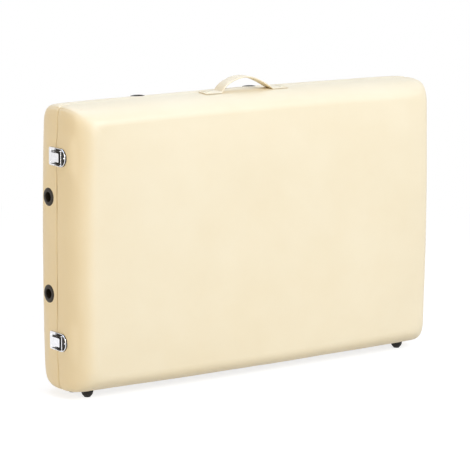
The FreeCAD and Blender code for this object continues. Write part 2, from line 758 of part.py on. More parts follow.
def handle_plates():
    """Steel strips that clamp the tails of the strap to the rail."""
    plates = []
    top = f"{HANDLE_TOP} + strap_thick"
    for end in (-1, 1):
        middle = f"handle_shift + ({signed(end, 'handle_span / 2 + handle_tail * 0.7')})"
        plates.append(block(f"handle_plates_{end + 1}", about(middle, "plate_long"),
                            about("-handle_deep", "strap_wide * 0.8"), (top, f"{top} + plate_thick")))
    return subpart("handle_plates", plates)


# ---- leg frames ---------------------------------------------------------------------------------

NEST = {FRONT: "nest_front", REAR: "nest_rear"}


def leg_level(side):
    """Outer face of the lower legs, from the middle height."""
    return f"({RAIL_INNER} - {NEST[side]})"


def upper_level(side):
    """Outer face of the upper legs, from the middle height."""
    return f"({leg_level(side)} - leg_thick - leg_play)"


def stay_level(side):
    """Inner face of the upper legs, from the middle height."""
    return f"({upper_level(side)} - leg_thick)"


def stay_centre(side, distance):
    return (f"{PIVOT_X} + {distance}", signed(side, "pivot_deep"))


def leg_depth(side):
    return deep(side, "pivot_deep - leg_width / 2", "pivot_deep + leg_width / 2")


def way_name(way):
    return "low" if way == BELOW else "top"


def upper_legs(side):
    """Pair of upper legs, rounded at the pivot and at the lower end."""
    name = NAMES[side] + "_upper_legs"
    legs = []
    for way in (BELOW, ABOVE):
        tag = f"{name}_{way_name(way)}"
        z = high(way, stay_level(side), upper_level(side))
        bar = block(tag + "_bar", reach("0", "upper_reach - leg_width / 2"), leg_depth(side), z)
        ends = [stud(f"{tag}_end{index}", "Z", stay_centre(side, distance), z, "leg_width / 2",
                     LEG_END_SIDES) for index, distance in enumerate(("0", "upper_reach - leg_width / 2"))]
        holes = [rod(tag + "_pivot", "Z", stay_centre(side, "0"), z, "pivot_bolt / 2 + bolt_play")]
        for distance in ("guide_reach", "clamp_reach"):
            holes.append(stud(f"{tag}_{distance}", "Z", stay_centre(side, distance), z, "clamp_bolt / 2"))
        holes.append(stud(tag + "_stay", "Z", stay_centre(side, "stay_leg_reach"), z, "stay_pin / 2"))
        legs.append(cut(tag, fuse(tag + "_blank", [bar] + ends), holes))
    return subpart(name, legs)


def crossbar(side):
    name = NAMES[side] + "_crossbar"
    x = about(f"{PIVOT_X} + crossbar_reach", "crossbar_wide")
    y = about(signed(side, "pivot_deep"), "crossbar_thick")
    body = doc.addObject("PartDesign::Body", name)
    z = about(MID, f"2 * {stay_level(side)}")
    sketch = sketch_in(body, "Z", z[0])
    draw_rectangle(sketch, x, y)
    feature = pad(body, sketch, f"2 * {stay_level(side)}")
    round_edges(body, feature, runs_along("Z"), "crossbar_thick / 6")
    return subpart(name, [body])


def lower_leg(side, way):
    """Sliding leg with one long slot for both bolts and a tenon for its rubber cap."""
    name = f"{NAMES[side]}_lower_leg_{way_name(way)}"
    low_face = f"({leg_level(side)} - leg_thick)"
    z = high(way, low_face, leg_level(side))
    shoulder = "foot_reach - cap_length"
    bar = block(name + "_bar", reach("lower_start + leg_width / 2", shoulder), leg_depth(side), z)
    nose = rod(name + "_nose", "Z", stay_centre(side, "lower_start + leg_width / 2"), z, "leg_width / 2")
    slim = "cap_wall + cap_play"
    tenon = block(name + "_tenon", reach(shoulder, "foot_reach - cap_sole - cap_play"),
                  about(signed(side, "pivot_deep"), f"leg_width - 2 * ({slim})"),
                  high(way, f"{low_face} + {slim}", f"{leg_level(side)} - ({slim})"))
    half_slot = "(clamp_bolt / 2 + slot_play)"
    first, last = "(guide_reach - leg_travel)", "clamp_reach"
    wide = about(signed(side, "pivot_deep"), f"2 * {half_slot}")
    slot = [block(name + "_slot", reach(first, last), wide, z)]
    for index, distance in enumerate((first, last)):
        slot.append(rod(f"{name}_slot_end{index}", "Z", stay_centre(side, distance), z, half_slot))
    return subpart(name, [cut(name, fuse(name + "_blank", [bar, nose, tenon]), slot)])


def foot_cap(side, way):
    """Rubber cap on the tenon of a lower leg."""
    name = f"{NAMES[side]}_foot_cap_{way_name(way)}"
    low_face = f"({leg_level(side)} - leg_thick)"
    z = high(way, low_face, leg_level(side))
    body = doc.addObject("PartDesign::Body", name + "_shell")
    x = reach("foot_reach - cap_length", "foot_reach")
    sketch = sketch_in(body, "Z", z[0])
    draw_rectangle(sketch, x, leg_depth(side))
    feature = pad(body, sketch, "leg_thick")
    end = level(x[1])
    round_edges(body, feature, lambda edge: runs_along("Z")(edge) and lies_at("X", end)(edge), "cap_sole / 2")
    hollow = block(name + "_hollow", reach("foot_reach - cap_length", "foot_reach - cap_sole"),
                   about(signed(side, "pivot_deep"), "leg_width - 2 * cap_wall"),
                   high(way, f"{low_face} + cap_wall", f"{leg_level(side)} - cap_wall"))
    return subpart(name, [cut(name, body, [hollow])])


def pivot_blocks():
    """Beech packing that carries the rear legs further in than the front ones."""
    name = "rear_pivot_blocks"
    blocks = []
    for way in (BELOW, ABOVE):
        tag = f"{name}_{way_name(way)}"
        z = high(way, f"{RAIL_INNER} - nest_rear + nest_front", RAIL_INNER)
        bar = block(tag + "_bar", reach("-packing_back", "leg_width"),
                    deep(REAR, "pivot_deep - leg_width / 2", DECK_NEAR), z)
        bore = stud(tag + "_bore", "Z", (PIVOT_X, "pivot_deep"), z, "pivot_bolt / 2")
        blocks.append(cut(tag, bar, [bore]))
    return subpart(name, blocks)


def pivot_bolts(side):
    """Bolt, head and spacer sleeve that carry each upper leg."""
    name = NAMES[side] + "_leg_pivots"
    pieces = []
    seat = RAIL_INNER if side == FRONT else f"({RAIL_INNER} - nest_rear + nest_front)"
    for way in (BELOW, ABOVE):
        tag = f"{name}_{way_name(way)}"
        centre = (PIVOT_X, signed(side, "pivot_deep"))
        under_head = f"({stay_level(side)} - head_play)"
        shank = stud(tag + "_shank", "Z", centre, high(way, under_head, f"{RAIL_INNER} + rail_thick * 3 / 4"),
                     "pivot_bolt / 2")
        head = stud(tag + "_head", "Z", centre, high(way, f"{under_head} - head_thick", under_head),
                    "pivot_bolt * 0.9", NUT_SIDES)
        sleeve = stud(tag + "_sleeve", "Z", centre, high(way, f"{upper_level(side)} + head_play", seat),
                      "sleeve_wide / 2")
        hole = stud(tag + "_hole", "Z", centre, high(way, upper_level(side), seat), "pivot_bolt / 2")
        pieces += [fuse(tag, [shank, head]), cut(tag + "_spacer", sleeve, [hole]), deck_pin(side, way)]
    return subpart(name, pieces)


def deck_pin(side, way):
    """Rivet in the end of the cross member that carries the upper link of a brace."""
    tag = f"{NAMES[side]}_deck_pin_{way_name(way)}"
    centre = stay_centre(side, "stay_deck_reach")
    link_far = f"({stay_level(side)} - stay_play * 2 - stay_thick)"
    half = f"({stay_level(side)} - stay_play * 3 - stay_thick * 2)"
    shank = stud(tag + "_shank", "Z", centre, high(way, f"{half} - pin_seat", f"{link_far} + rivet_play"),
                 "stay_pin / 2")
    head = stud(tag + "_head", "Z", centre,
                high(way, f"{link_far} + rivet_play", f"{link_far} + stay_play - rivet_play"), "stay_pin")
    return fuse(tag, [shank, head])


def leg_bolts(side):
    """Guide bolt with its nut and clamp bolt, through both members of each leg."""
    name = NAMES[side] + "_leg_bolts"
    bolts = []
    for way in (BELOW, ABOVE):
        for distance, inward in (("guide_reach", "head_thick + 1"),
                                 ("clamp_reach", "knob_thick / 2 + knob_neck")):
            tag = f"{name}_{way_name(way)}_{distance}"
            centre = stay_centre(side, distance)
            under_head = f"({leg_level(side)} + flat_head_play)"
            shank = stud(tag + "_shank", "Z", centre,
                         high(way, f"{stay_level(side)} - ({inward})", under_head), "clamp_bolt / 2")
            head = stud(tag + "_head", "Z", centre, high(way, under_head, f"{under_head} + flat_head"),
                        "clamp_bolt * 0.85")
            pieces = [shank, head]
            if distance == "guide_reach":
                pieces.append(stud(tag + "_nut", "Z", centre,
                                   high(way, f"{stay_level(side)} - head_thick", stay_level(side)),
                                   "clamp_bolt * 0.9", NUT_SIDES))
            bolts.append(fuse(tag, pieces))
    return subpart(name, bolts)


KNOB_LOBES = 5


def star_knob(side, way):
    """Moulded star knob: a disc with finger hollows, on a collar against the leg."""
    name = f"{NAMES[side]}_knob_{way_name(way)}"
    centre = stay_centre(side, "clamp_reach")
    near = f"({stay_level(side)} - knob_play)"
    face = f"({near} - knob_neck)"
    collar = stud(name + "_collar", "Z", centre, high(way, face, near), "knob_wide / 4")
    body = doc.addObject("PartDesign::Body", name + "_disc")
    disc_z = high(way, f"{face} - knob_thick", face)
    sketch = sketch_in(body, "Z", disc_z[0])
    draw_circle(sketch, "0", "0", "knob_wide / 2")
    pad(body, sketch, "knob_thick")
    hollow = sketch_in(body, "Z", disc_z[1])
    draw_circle(hollow, "knob_wide / 2 + knob_lobe / 6", "0", "knob_lobe / 2")
    first = pocket(body, hollow, "knob_thick")
    pattern = body.newObject("PartDesign::PolarPattern", name + "_hollows")
    pattern.Originals = [first]
    pattern.Axis = (hollow, ["N_Axis"])
    pattern.Angle = 360
    pattern.Occurrences = KNOB_LOBES
    body.Tip = pattern
    doc.recompute()
    place(body, centre[0], centre[1], "0")
    bore = rod(name + "_bore", "Z", centre, high(way, f"{face} - knob_thick / 2 - 1", near),
               "clamp_bolt / 2 + bolt_play")
    return subpart(name, [cut(name, fuse(name + "_blank", [body, collar]), [bore])])


# ---- folding braces -----------------------------------------------------------------------------

STAY_SPAN = "sqrt(stay_leg_reach ^ 2 + stay_deck_reach ^ 2)"
LEG_LINK = f"(({STAY_SPAN} + stay_leg_reach - stay_deck_reach) / 2)"
DECK_LINK = f"(({STAY_SPAN} - stay_leg_reach + stay_deck_reach) / 2)"
KNUCKLE_REACH = f"(stay_leg_reach - {LEG_LINK})"


def link(name, side, way, reaches, levels, bore):
    """Flat bar with round ends between two reaches, pierced at both."""
    z = high(way, *levels)
    bar = block(name + "_bar", reach(*reaches), about(signed(side, "pivot_deep"), "stay_width"), z)
    ends = [stud(f"{name}_end{index}", "Z", stay_centre(side, distance), z, "stay_width / 2", BAR_END_SIDES)
            for index, distance in enumerate(reaches)]
    hole = rod(name + "_hole", "Z", stay_centre(side, bore), z, "stay_pin / 2 + bolt_play")
    return cut(name + "_link", fuse(name + "_blank", [bar] + ends), [hole])


def leg_links(side):
    """Lower brace links, riveted to the upper legs, with half of the knuckle rivet."""
    name = NAMES[side] + "_brace_leg_links"
    far = f"({stay_level(side)} - stay_play)"
    near = f"({far} - stay_thick)"
    links = []
    for way in (BELOW, ABOVE):
        tag = f"{name}_{way_name(way)}"
        bar = link(tag, side, way, (KNUCKLE_REACH, "stay_leg_reach"), (near, far), "stay_leg_reach")
        rivet = stud(tag + "_rivet", "Z", stay_centre(side, KNUCKLE_REACH),
                     high(way, f"{near} - stay_play / 4", f"{far} + stay_play / 2"), "stay_pin * 0.9")
        links.append(fuse(tag, [bar, rivet]))
    return subpart(name, links)


def deck_links(side):
    """Upper brace links, pivoted on the cross member, with the other half of the rivet."""
    name = NAMES[side] + "_brace_deck_links"
    far = f"({stay_level(side)} - stay_play * 2 - stay_thick)"
    near = f"({far} - stay_thick)"
    links = []
    for way in (BELOW, ABOVE):
        tag = f"{name}_{way_name(way)}"
        bar = link(tag, side, way, (KNUCKLE_REACH, "stay_deck_reach"), (near, far), "stay_deck_reach")
        rivet = stud(tag + "_rivet", "Z", stay_centre(side, KNUCKLE_REACH),
                     high(way, f"{near} - stay_play * 2", f"{far} + stay_play / 4"), "stay_pin * 0.9")
        links.append(fuse(tag, [bar, rivet]))
    return subpart(name, links)


def leg_pins(side):
    """Rivets in the upper legs that carry the lower links of the braces."""
    name = NAMES[side] + "_brace_leg_pins"
    pins = []
    link_near = f"({stay_level(side)} - stay_play - stay_thick)"
    for way in (BELOW, ABOVE):
        tag = f"{name}_{way_name(way)}"
        centre = stay_centre(side, "stay_leg_reach")
        under_head = f"({link_near} - rivet_play)"
        shank = stud(tag + "_shank", "Z", centre, high(way, under_head, upper_level(side)), "stay_pin / 2")
        head = stud(tag + "_head", "Z", centre, high(way, f"{under_head} - rivet_head", under_head),
                    "stay_pin")
        pins.append(fuse(tag, [shank, head]))
    return subpart(name, pins)


# ---- latches --------------------------------------------------------------------------------------

LATCH_FACE = f"-({HALF_LENGTH})"
LEVER_X = f"(-({HALF_LENGTH}) - lever_pivot_out)"
LEVER_Y = "(0 - lever_pivot_deep)"
HOOK_Y = "(hook_reach - lever_pivot_deep)"


def latch_middle(way):
    return f"{MID} + ({signed(way, 'latch_spread / 2')})"


def outward(near, far):
    """Span along X between two distances off the latch end."""
    return f"{LATCH_FACE} - ({far})", f"{LATCH_FACE} - ({near})"


def d_shape(name, middle, x, inset):
    """Plate whose far end is a half circle, drawn in by an inset all round but at the seam."""
    radius = f"(latch_tall / 2 - {inset})"
    bar = block(name + "_bar", x, deep(FRONT, "base_edge", "base_deep - latch_tall / 2"),
                about(middle, f"2 * {radius}"))
    end = stud(name + "_end", "X", ("latch_tall / 2 - base_deep", middle), x, radius, PLATE_END_SIDES)
    return fuse(name, [bar, end])


def latch_bases():
    """Dished D-shaped plates on the front half with two ears and the lever pin."""
    bases = []
    for way in (BELOW, ABOVE):
        tag = f"latch_bases_{way_name(way)}"
        middle = latch_middle(way)
        dished = cut(tag + "_dished", d_shape(tag + "_outer", middle, outward("0", "latch_rim_out"), "0"),
                     [d_shape(tag + "_dish", middle, outward("latch_plate", "latch_rim_out"), "latch_rim")])
        pieces = [dished]
        for ear in (-1, 1):
            edge = "lever_tall / 2 + ear_play"
            z = (f"{middle} + {edge}", f"{middle} + {edge} + lever_skin")
            if ear < 0:
                z = (f"{middle} - ({edge}) - lever_skin", f"{middle} - ({edge})")
            pieces.append(block(f"{tag}_ear{ear + 1}", outward("latch_plate / 2", "lever_pivot_out"),
                                about(LEVER_Y, "latch_pin * 3"), z))
            pieces.append(stud(f"{tag}_ear_top{ear + 1}", "Z", (LEVER_X, LEVER_Y), z, "latch_pin * 3 / 2"))
        pieces.append(stud(tag + "_pin", "Z", (LEVER_X, LEVER_Y),
                           about(middle, "lever_tall + 3 * lever_skin"), "latch_pin / 2"))
        bases.append(fuse(tag, pieces))
    return subpart("latch_bases", bases)


def latch_catches():
    """Plates on the rear half with the lip that the hook pulls on."""
    catches = []
    for way in (BELOW, ABOVE):
        tag = f"latch_catches_{way_name(way)}"
        middle = latch_middle(way)
        plate = doc.addObject("PartDesign::Body", tag + "_plate")
        x, y = outward("0", "latch_plate"), ("base_edge", "catch_deep")
        sketch = sketch_in(plate, "X", x[0])
        draw_rectangle(sketch, y, about(middle, "latch_tall"))
        blank = pad(plate, sketch, "latch_plate")
        far = lies_at("Y", SIZE["catch_deep"])
        round_edges(plate, blank, lambda edge: runs_along("X")(edge) and far(edge), "latch_corner")
        lip = block(tag + "_lip", outward("latch_plate / 2", "lip_out"),
                    ("lip_deep - lever_skin", "lip_deep"), about(middle, "hook_tall + 2"))
        catches.append(fuse(tag, [plate, lip]))
    return subpart("latch_catches", catches)


def latch_lever(way):
    """Pressed cover plate with two cheeks that turn on the base's pin, and the hook pin."""
    name = f"latch_lever_{way_name(way)}"
    middle = latch_middle(way)
    plate = block(name + "_plate", outward("lever_out - lever_skin", "lever_out"),
                  (f"{LEVER_Y} - lever_back", "lever_tip"), about(middle, "lever_tall"))
    pieces = [plate]
    for cheek in (-1, 1):
        z = (f"{middle} + lever_tall / 2 - lever_skin", f"{middle} + lever_tall / 2")
        if cheek < 0:
            z = (f"{middle} - lever_tall / 2", f"{middle} - lever_tall / 2 + lever_skin")
        pieces.append(block(f"{name}_cheek{cheek + 1}", outward("lever_pivot_out - latch_pin", "lever_out"),
                            (f"{LEVER_Y} - lever_back", f"{HOOK_Y} + latch_pin"), z))
        pieces.append(stud(f"{name}_boss{cheek + 1}", "Z", (LEVER_X, LEVER_Y), z, "latch_pin * 1.2"))
    pieces.append(stud(name + "_hook_pin", "Z", (LEVER_X, HOOK_Y), about(middle, "lever_tall"),
                       "latch_pin / 2"))
    bore = rod(name + "_bore", "Z", (LEVER_X, LEVER_Y), about(middle, "lever_tall + 2"),
               "latch_pin / 2 + pin_play")
    return subpart(name, [cut(name, fuse(name + "_blank", pieces), [bore])])


def latch_hook(way):
    """Flat link on the lever's second pin, with a claw over the lip of the catch."""
    name = f"latch_hook_{way_name(way)}"
    middle = latch_middle(way)
    z = about(middle, "hook_tall")
    barrel = stud(name + "_barrel", "Z", (LEVER_X, HOOK_Y), z, "latch_pin * 0.95")
    claw_near = "(lip_deep + hook_gap)"
    arm = block(name + "_arm", outward("lip_out + hook_gap", "lip_out + hook_gap + lever_skin"),
                (HOOK_Y, f"{claw_near} + lever_skin"), z)
    claw = block(name + "_claw", outward("lip_out - lever_skin * 1.5", "lip_out + hook_gap + lever_skin"),
                 (claw_near, f"{claw_near} + lever_skin"), z)
    bore = rod(name + "_bore", "Z", (LEVER_X, HOOK_Y), about(middle, "hook_tall + 2"),
               "latch_pin / 2 + pin_play")
    return subpart(name, [cut(name, fuse(name + "_blank", [barrel, arm, claw]), [bore])])


# ---- the whole table --------------------------------------------------------------------------------

def build():
    for side in (FRONT, REAR):
        cushion(side)
        cover_band(side)
        deck(side)
        side_rails(side)
        end_rail(side, -1)
        hinge_rail(side)
        corner_blocks(side)
        cross_member(side)
        case_feet(side)
        hinge_leaves(side)
        hinge_screws(side)
        pivot_bolts(side)
        upper_legs(side)
        crossbar(side)
        leg_bolts(side)
        leg_links(side)
        deck_links(side)
        leg_pins(side)
        for way in (BELOW, ABOVE):
            lower_leg(side, way)
            foot_cap(side, way)
            star_knob(side, way)
    pivot_blocks()
    hinge_pins()
    handle_strap()
    handle_plates()
    headrest_bushings()
    armrest_bushings()
    latch_bases()
    latch_catches()
    for way in (BELOW, ABOVE):
        latch_lever(way)
        latch_hook(way)


def hinge_rail(side):
    return end_rail(side, 1)


def check():
    """Refuse a model with a failed object or a sub-part that isn't a valid solid."""
    failed = [thing.Name for thing in doc.Objects if {"Invalid", "Error"} & set(thing.State)]
    for whole in SUBPARTS:
        if whole.Shape.isNull() or not whole.Shape.isValid() or not whole.Shape.Solids:
            failed.append(whole.Label)
    if failed:
        raise RuntimeError("failed: " + ", ".join(failed))


def write():
    os.makedirs("parts", exist_ok=True)
    for whole in SUBPARTS:
        whole.Shape.exportStep(os.path.join("parts", whole.Label + ".step"))


build()
doc.recompute()
check()
write()
print(len(SUBPARTS), "sub-parts,", sum(len(whole.Shape.Solids) for whole in SUBPARTS), "solids")
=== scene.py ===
import json
import math

import bmesh
import bpy
import numpy as np
from mathutils import Matrix, Vector, noise

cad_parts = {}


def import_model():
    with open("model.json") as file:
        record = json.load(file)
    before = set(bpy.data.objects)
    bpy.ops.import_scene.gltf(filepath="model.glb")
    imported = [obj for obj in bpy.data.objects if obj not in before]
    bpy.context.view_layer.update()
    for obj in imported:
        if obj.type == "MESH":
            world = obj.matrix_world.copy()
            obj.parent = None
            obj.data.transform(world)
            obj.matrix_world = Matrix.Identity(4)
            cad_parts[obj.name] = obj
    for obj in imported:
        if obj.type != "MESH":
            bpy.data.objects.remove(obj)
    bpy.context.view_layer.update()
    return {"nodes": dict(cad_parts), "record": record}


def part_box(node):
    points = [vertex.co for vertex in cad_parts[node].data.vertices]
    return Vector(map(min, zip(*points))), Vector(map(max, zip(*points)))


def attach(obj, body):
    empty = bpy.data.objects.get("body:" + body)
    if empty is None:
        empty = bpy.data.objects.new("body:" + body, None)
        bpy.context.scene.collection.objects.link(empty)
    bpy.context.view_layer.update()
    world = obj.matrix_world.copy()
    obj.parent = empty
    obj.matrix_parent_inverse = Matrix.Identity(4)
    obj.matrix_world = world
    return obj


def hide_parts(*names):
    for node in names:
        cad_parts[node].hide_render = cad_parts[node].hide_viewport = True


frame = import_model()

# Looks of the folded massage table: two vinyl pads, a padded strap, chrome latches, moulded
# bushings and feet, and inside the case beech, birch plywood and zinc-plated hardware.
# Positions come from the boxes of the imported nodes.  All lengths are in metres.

HALVES = {"front": -1.0, "rear": 1.0}
MM = 0.001


# ---- small helpers ----

def clamp(value):
    return min(1.0, max(0.0, value))


def eased(share):
    """Smooth step of a share from 0 to 1."""
    return share * share * (3 - 2 * share)


def linked(name, data):
    """New object in the scene that holds the data."""
    thing = bpy.data.objects.new(name, data)
    bpy.context.scene.collection.objects.link(thing)
    return thing


def wired(tree, kind, inputs, **settings):
    """Outputs of a new node with its settings, whose named or numbered inputs are linked or set."""
    node = tree.nodes.new(kind)
    for name, value in settings.items():
        setattr(node, name, value)
    for key, value in inputs.items():
        if isinstance(value, bpy.types.NodeSocket):
            tree.links.new(value, node.inputs[key])
        elif node.inputs[key].type == "RGBA":
            node.inputs[key].default_value = (*value, 1.0)
        else:
            node.inputs[key].default_value = value
    return node.outputs


def vertex_rows(mesh, name):
    """Places or normals of a mesh's vertices as rows of an array."""
    rows = np.empty(len(mesh.vertices) * 3)
    mesh.vertices.foreach_get(name, rows)
    return rows.reshape(-1, 3)


# ---- node helpers ----

class Shader:
    """A material with a Principled shader and short ways to add nodes to it."""

    def __init__(self, name, roughness=0.5, metallic=0.0):
        self.material = bpy.data.materials.new(name)
        self.material.use_nodes = True
        self.tree = self.material.node_tree
        self.inputs = self.tree.nodes["Principled BSDF"].inputs
        self.inputs["Roughness"].default_value = roughness
        self.inputs["Metallic"].default_value = metallic
        self.place = self.tree.nodes.new("ShaderNodeTexCoord").outputs["Object"]

    def add(self, kind, inputs, **settings):
        return wired(self.tree, "ShaderNode" + kind, inputs, **settings)

    def join(self, output, name):
        self.tree.links.new(output, self.inputs[name])

    def stretched(self, scale):
        """Object coordinates scaled unevenly along X, Y and Z."""
        return self.add("Mapping", {"Vector": self.place, "Scale": scale})["Vector"]

    def noise(self, scale, detail=3.0, roughness=0.5, vector=None):
        return self.add("TexNoise", {"Vector": vector or self.place, "Scale": scale, "Detail": detail,
                                     "Roughness": roughness})["Fac"]

    def cells(self, scale):
        return self.add("TexVoronoi", {"Vector": self.place, "Scale": scale})["Distance"]

    def ramp(self, value, stops):
        node = self.tree.nodes.new("ShaderNodeValToRGB")
        band = node.color_ramp.elements
        while len(band) < len(stops):
            band.new(0.5)
        for element, (position, colour) in zip(band, stops):
            element.position = position
            element.color = (*colour, 1.0)
        self.tree.links.new(value, node.inputs["Fac"])
        return node.outputs["Color"]

    def spread(self, value, low, high):
        """Map a 0 to 1 value onto a range."""
        return self.add("MapRange", {"Value": value, "To Min": low, "To Max": high})["Result"]

    def darkened(self, factor, first, second):
        """First colour, multiplied by the second as far as the factor says."""
        return self.add("Mix", {0: factor, 6: first, 7: second}, data_type="RGBA", blend_type="MULTIPLY")[2]

    def bump(self, *heights):
        """Chain of bumps, each a (value, strength, distance)."""
        inputs = {}
        for value, strength, distance in heights:
            inputs.update({"Strength": strength, "Distance": distance, "Height": value})
            inputs["Normal"] = self.add("Bump", inputs)["Normal"]
        self.join(inputs["Normal"], "Normal")


# ---- materials ----

def vinyl(name, light, dark):
    """Soft faux leather: pebbled grain, faint mottling, a low satin sheen."""
    shader = Shader(name)
    clouds = shader.noise(7.0, 4.0, 0.55)
    specks = shader.noise(420.0, 2.0)
    tone = shader.ramp(clouds, ((0.3, dark), (0.7, light)))
    shader.join(shader.darkened(shader.spread(specks, 0.0, 0.10), tone, dark), "Base Color")
    shader.join(shader.spread(clouds, 0.40, 0.50), "Roughness")
    pebbles = shader.cells(760.0)
    wrinkle = shader.noise(240.0, 4.0, 0.6)
    shader.bump((wrinkle, 0.10, 0.0004), (pebbles, 0.16, 0.00025))
    shader.inputs["Sheen Weight"].default_value = 0.08
    shader.inputs["Sheen Roughness"].default_value = 0.4
    return shader.material


GRAIN_SCALE = (46.0, 2.6)  # noise scale of the grain, across and along it
PORE_SCALE = (620.0, 34.0)  # the same for the pores


def timber(name, light, dark, along):
    """Planed wood with its grain along an axis, fine pores and a satin lacquer."""
    shader = Shader(name, 0.42)
    grain_scale, pore_scale = ([scale[axis == along] for axis in "XYZ"]
                               for scale in (GRAIN_SCALE, PORE_SCALE))
    grain = shader.noise(1.0, 6.0, 0.62, shader.stretched(grain_scale))
    pores = shader.noise(1.0, 2.0, 0.5, shader.stretched(pore_scale))
    tone = shader.ramp(grain, ((0.34, dark), (0.5, tuple((a + b) / 2 for a, b in zip(light, dark))),
                               (0.68, light)))
    fleck = shader.ramp(pores, ((0.30, (0.72, 0.66, 0.60)), (0.42, (1.0, 1.0, 1.0))))
    shader.join(shader.darkened(0.55, tone, fleck), "Base Color")
    shader.join(shader.spread(grain, 0.36, 0.52), "Roughness")
    shader.bump((grain, 0.08, 0.0006), (pores, 0.12, 0.0002))
    return shader.material


def moulded(name, colour, low, high, grain):
    """Moulded rubber or plastic with a fine spark-eroded texture."""
    shader = Shader(name)
    dusty = shader.noise(60.0, 3.0)
    paler = tuple(min(1.0, value * 1.7 + 0.006) for value in colour)
    shader.join(shader.ramp(dusty, ((0.35, colour), (0.75, paler))), "Base Color")
    shader.join(shader.spread(dusty, low, high), "Roughness")
    shader.bump((shader.noise(grain, 2.0), 0.12, 0.0002))
    shader.inputs["Specular IOR Level"].default_value = 0.3
    return shader.material


def chrome():
    """Bright plating with hairline scratches and slightly waved pressings."""
    shader = Shader("chrome_plate", 0.12, 1.0)
    waves = shader.noise(140.0, 2.0)
    hair = shader.noise(1.0, 2.0, 0.5, shader.stretched((900.0, 900.0, 60.0)))
    shader.join(shader.ramp(waves, ((0.3, (0.78, 0.78, 0.80)), (0.7, (0.90, 0.90, 0.92)))), "Base Color")
    shader.join(shader.spread(hair, 0.07, 0.22), "Roughness")
    shader.bump((waves, 0.10, 0.0004), (hair, 0.03, 0.0001))
    return shader.material


def zinc():
    """Zinc-plated steel: dull, faintly clouded."""
    shader = Shader("zinc_steel", 0.36, 1.0)
    clouds = shader.noise(90.0, 4.0)
    shader.join(shader.ramp(clouds, ((0.3, (0.48, 0.48, 0.49)), (0.7, (0.66, 0.66, 0.65)))), "Base Color")
    shader.join(shader.spread(shader.noise(600.0, 2.0), 0.28, 0.46), "Roughness")
    shader.bump((clouds, 0.06, 0.0003))
    return shader.material


CREAM = (0.890, 0.795, 0.590)
CREAM_SHADE = (0.865, 0.760, 0.545)
BEECH = (0.66, 0.45, 0.27)
BEECH_DARK = (0.52, 0.33, 0.18)
BIRCH = (0.74, 0.58, 0.39)
BIRCH_DARK = (0.62, 0.45, 0.28)

LOOKS = {
    "cream_vinyl": vinyl("cream_vinyl_cover", CREAM, CREAM_SHADE),
    "strap_vinyl": vinyl("strap_vinyl_cover", (0.885, 0.800, 0.610), (0.85, 0.75, 0.55)),
    "beech_x": timber("beech_along_x", BEECH, BEECH_DARK, "X"),
    "beech_z": timber("beech_along_z", BEECH, BEECH_DARK, "Z"),
    "plywood": timber("birch_plywood", BIRCH, BIRCH_DARK, "X"),
    "black_rubber": moulded("black_rubber_mould", (0.012, 0.011, 0.010), 0.5, 0.7, 900.0),
    "black_plastic": moulded("grey_plastic_mould", (0.020, 0.0155, 0.0105), 0.34, 0.5, 1300.0),
    "chrome": chrome(),
    "steel": zinc(),
    # near-black painted shade and dark reflection for the latch dish, the plate edges and the lever cheeks
    "painted_shade_dark": moulded("painted_shade_on_latches", (0.020, 0.019, 0.018), 0.35, 0.5, 1500.0),
    "thread": moulded("cream_thread", (0.74, 0.66, 0.47), 0.6, 0.8, 2400.0),
}

GRAIN_ALONG_Z = ("latch_rail", "hinge_rail", "cross_member", "crossbar", "corner_blocks")


def node_look(node, slot):
    if slot == "beech":
        return LOOKS["beech_z" if node.endswith(GRAIN_ALONG_Z) else "beech_x"]
    return LOOKS[slot]


def paint(piece, look):
    piece.data.materials.clear()
    piece.data.materials.append(look)


def dress_nodes():
    """Give every node of the frame the finish of its slot."""
    slots = {row["node"]: row["material_slot"] for row in frame["record"]["subparts"]}
    for node, thing in frame["nodes"].items():
        paint(thing, node_look(node, slots[node]))


# ---- mesh helpers ----

def piece_from(points, faces, look, name="part"):
    """Smooth-shaded object with outward normals and one look."""
    mesh = bpy.data.meshes.new(name)
    mesh.from_pydata([tuple(point) for point in points], [], faces)
    mesh.update()
    thing = linked(name, mesh)
    close = bmesh.new()
    close.from_mesh(mesh)
    bmesh.ops.recalc_face_normals(close, faces=close.faces)
    close.to_mesh(mesh)
    close.free()
    for polygon in mesh.polygons:
        polygon.use_smooth = True
    paint(thing, LOOKS[look])
    return thing


def apply_modifiers(thing):
    """Turn a piece's modifiers into plain mesh."""
    graph = bpy.context.evaluated_depsgraph_get()
    baked = bpy.data.meshes.new_from_object(thing.evaluated_get(graph))
    old = thing.data
    thing.modifiers.clear()
    thing.data = baked
    bpy.data.meshes.remove(old)
    for polygon in thing.data.polygons:
        polygon.use_smooth = True


def subdivide(thing, levels):
    modifier = thing.modifiers.new("smooth", "SUBSURF")
    modifier.levels = levels
    modifier.render_levels = levels
    bpy.context.view_layer.update()
    apply_modifiers(thing)


def rings_to_faces(count, rings, closed_ends=False):
    """Quads between rings of points that were listed one after another."""
    faces = []
    for ring in range(rings - 1):
        for index in range(count):
            after = (index + 1) % count
            low, high = ring * count, (ring + 1) * count
            faces.append((low + index, low + after, high + after, high + index))
    if closed_ends:
        faces.append(tuple(range(count)))
        faces.append(tuple(range((rings - 1) * count, rings * count))[::-1])
    return faces


def circle(centre, axis, along, radius, steps):
    """Points of a circle round an axis through a centre, moved along it."""
    index = "XYZ".index(axis)
    one, other = (number for number in range(3) if number != index)
    points = []
    for step in range(steps):
        turn = 2 * math.pi * step / steps
        point = list(centre)
        point[index] += along
        point[one] += radius * math.cos(turn)
        point[other] += radius * math.sin(turn)
        points.append(point)
    return points


def lathe(profile, centre, axis, look, steps):
    """Turn a profile of (along, radius) rows about an axis through a centre."""
    points = [point for along, radius in profile for point in circle(centre, axis, along, radius, steps)]
    return piece_from(points, rings_to_faces(steps, len(profile), True), look)


# ---- the pads ----

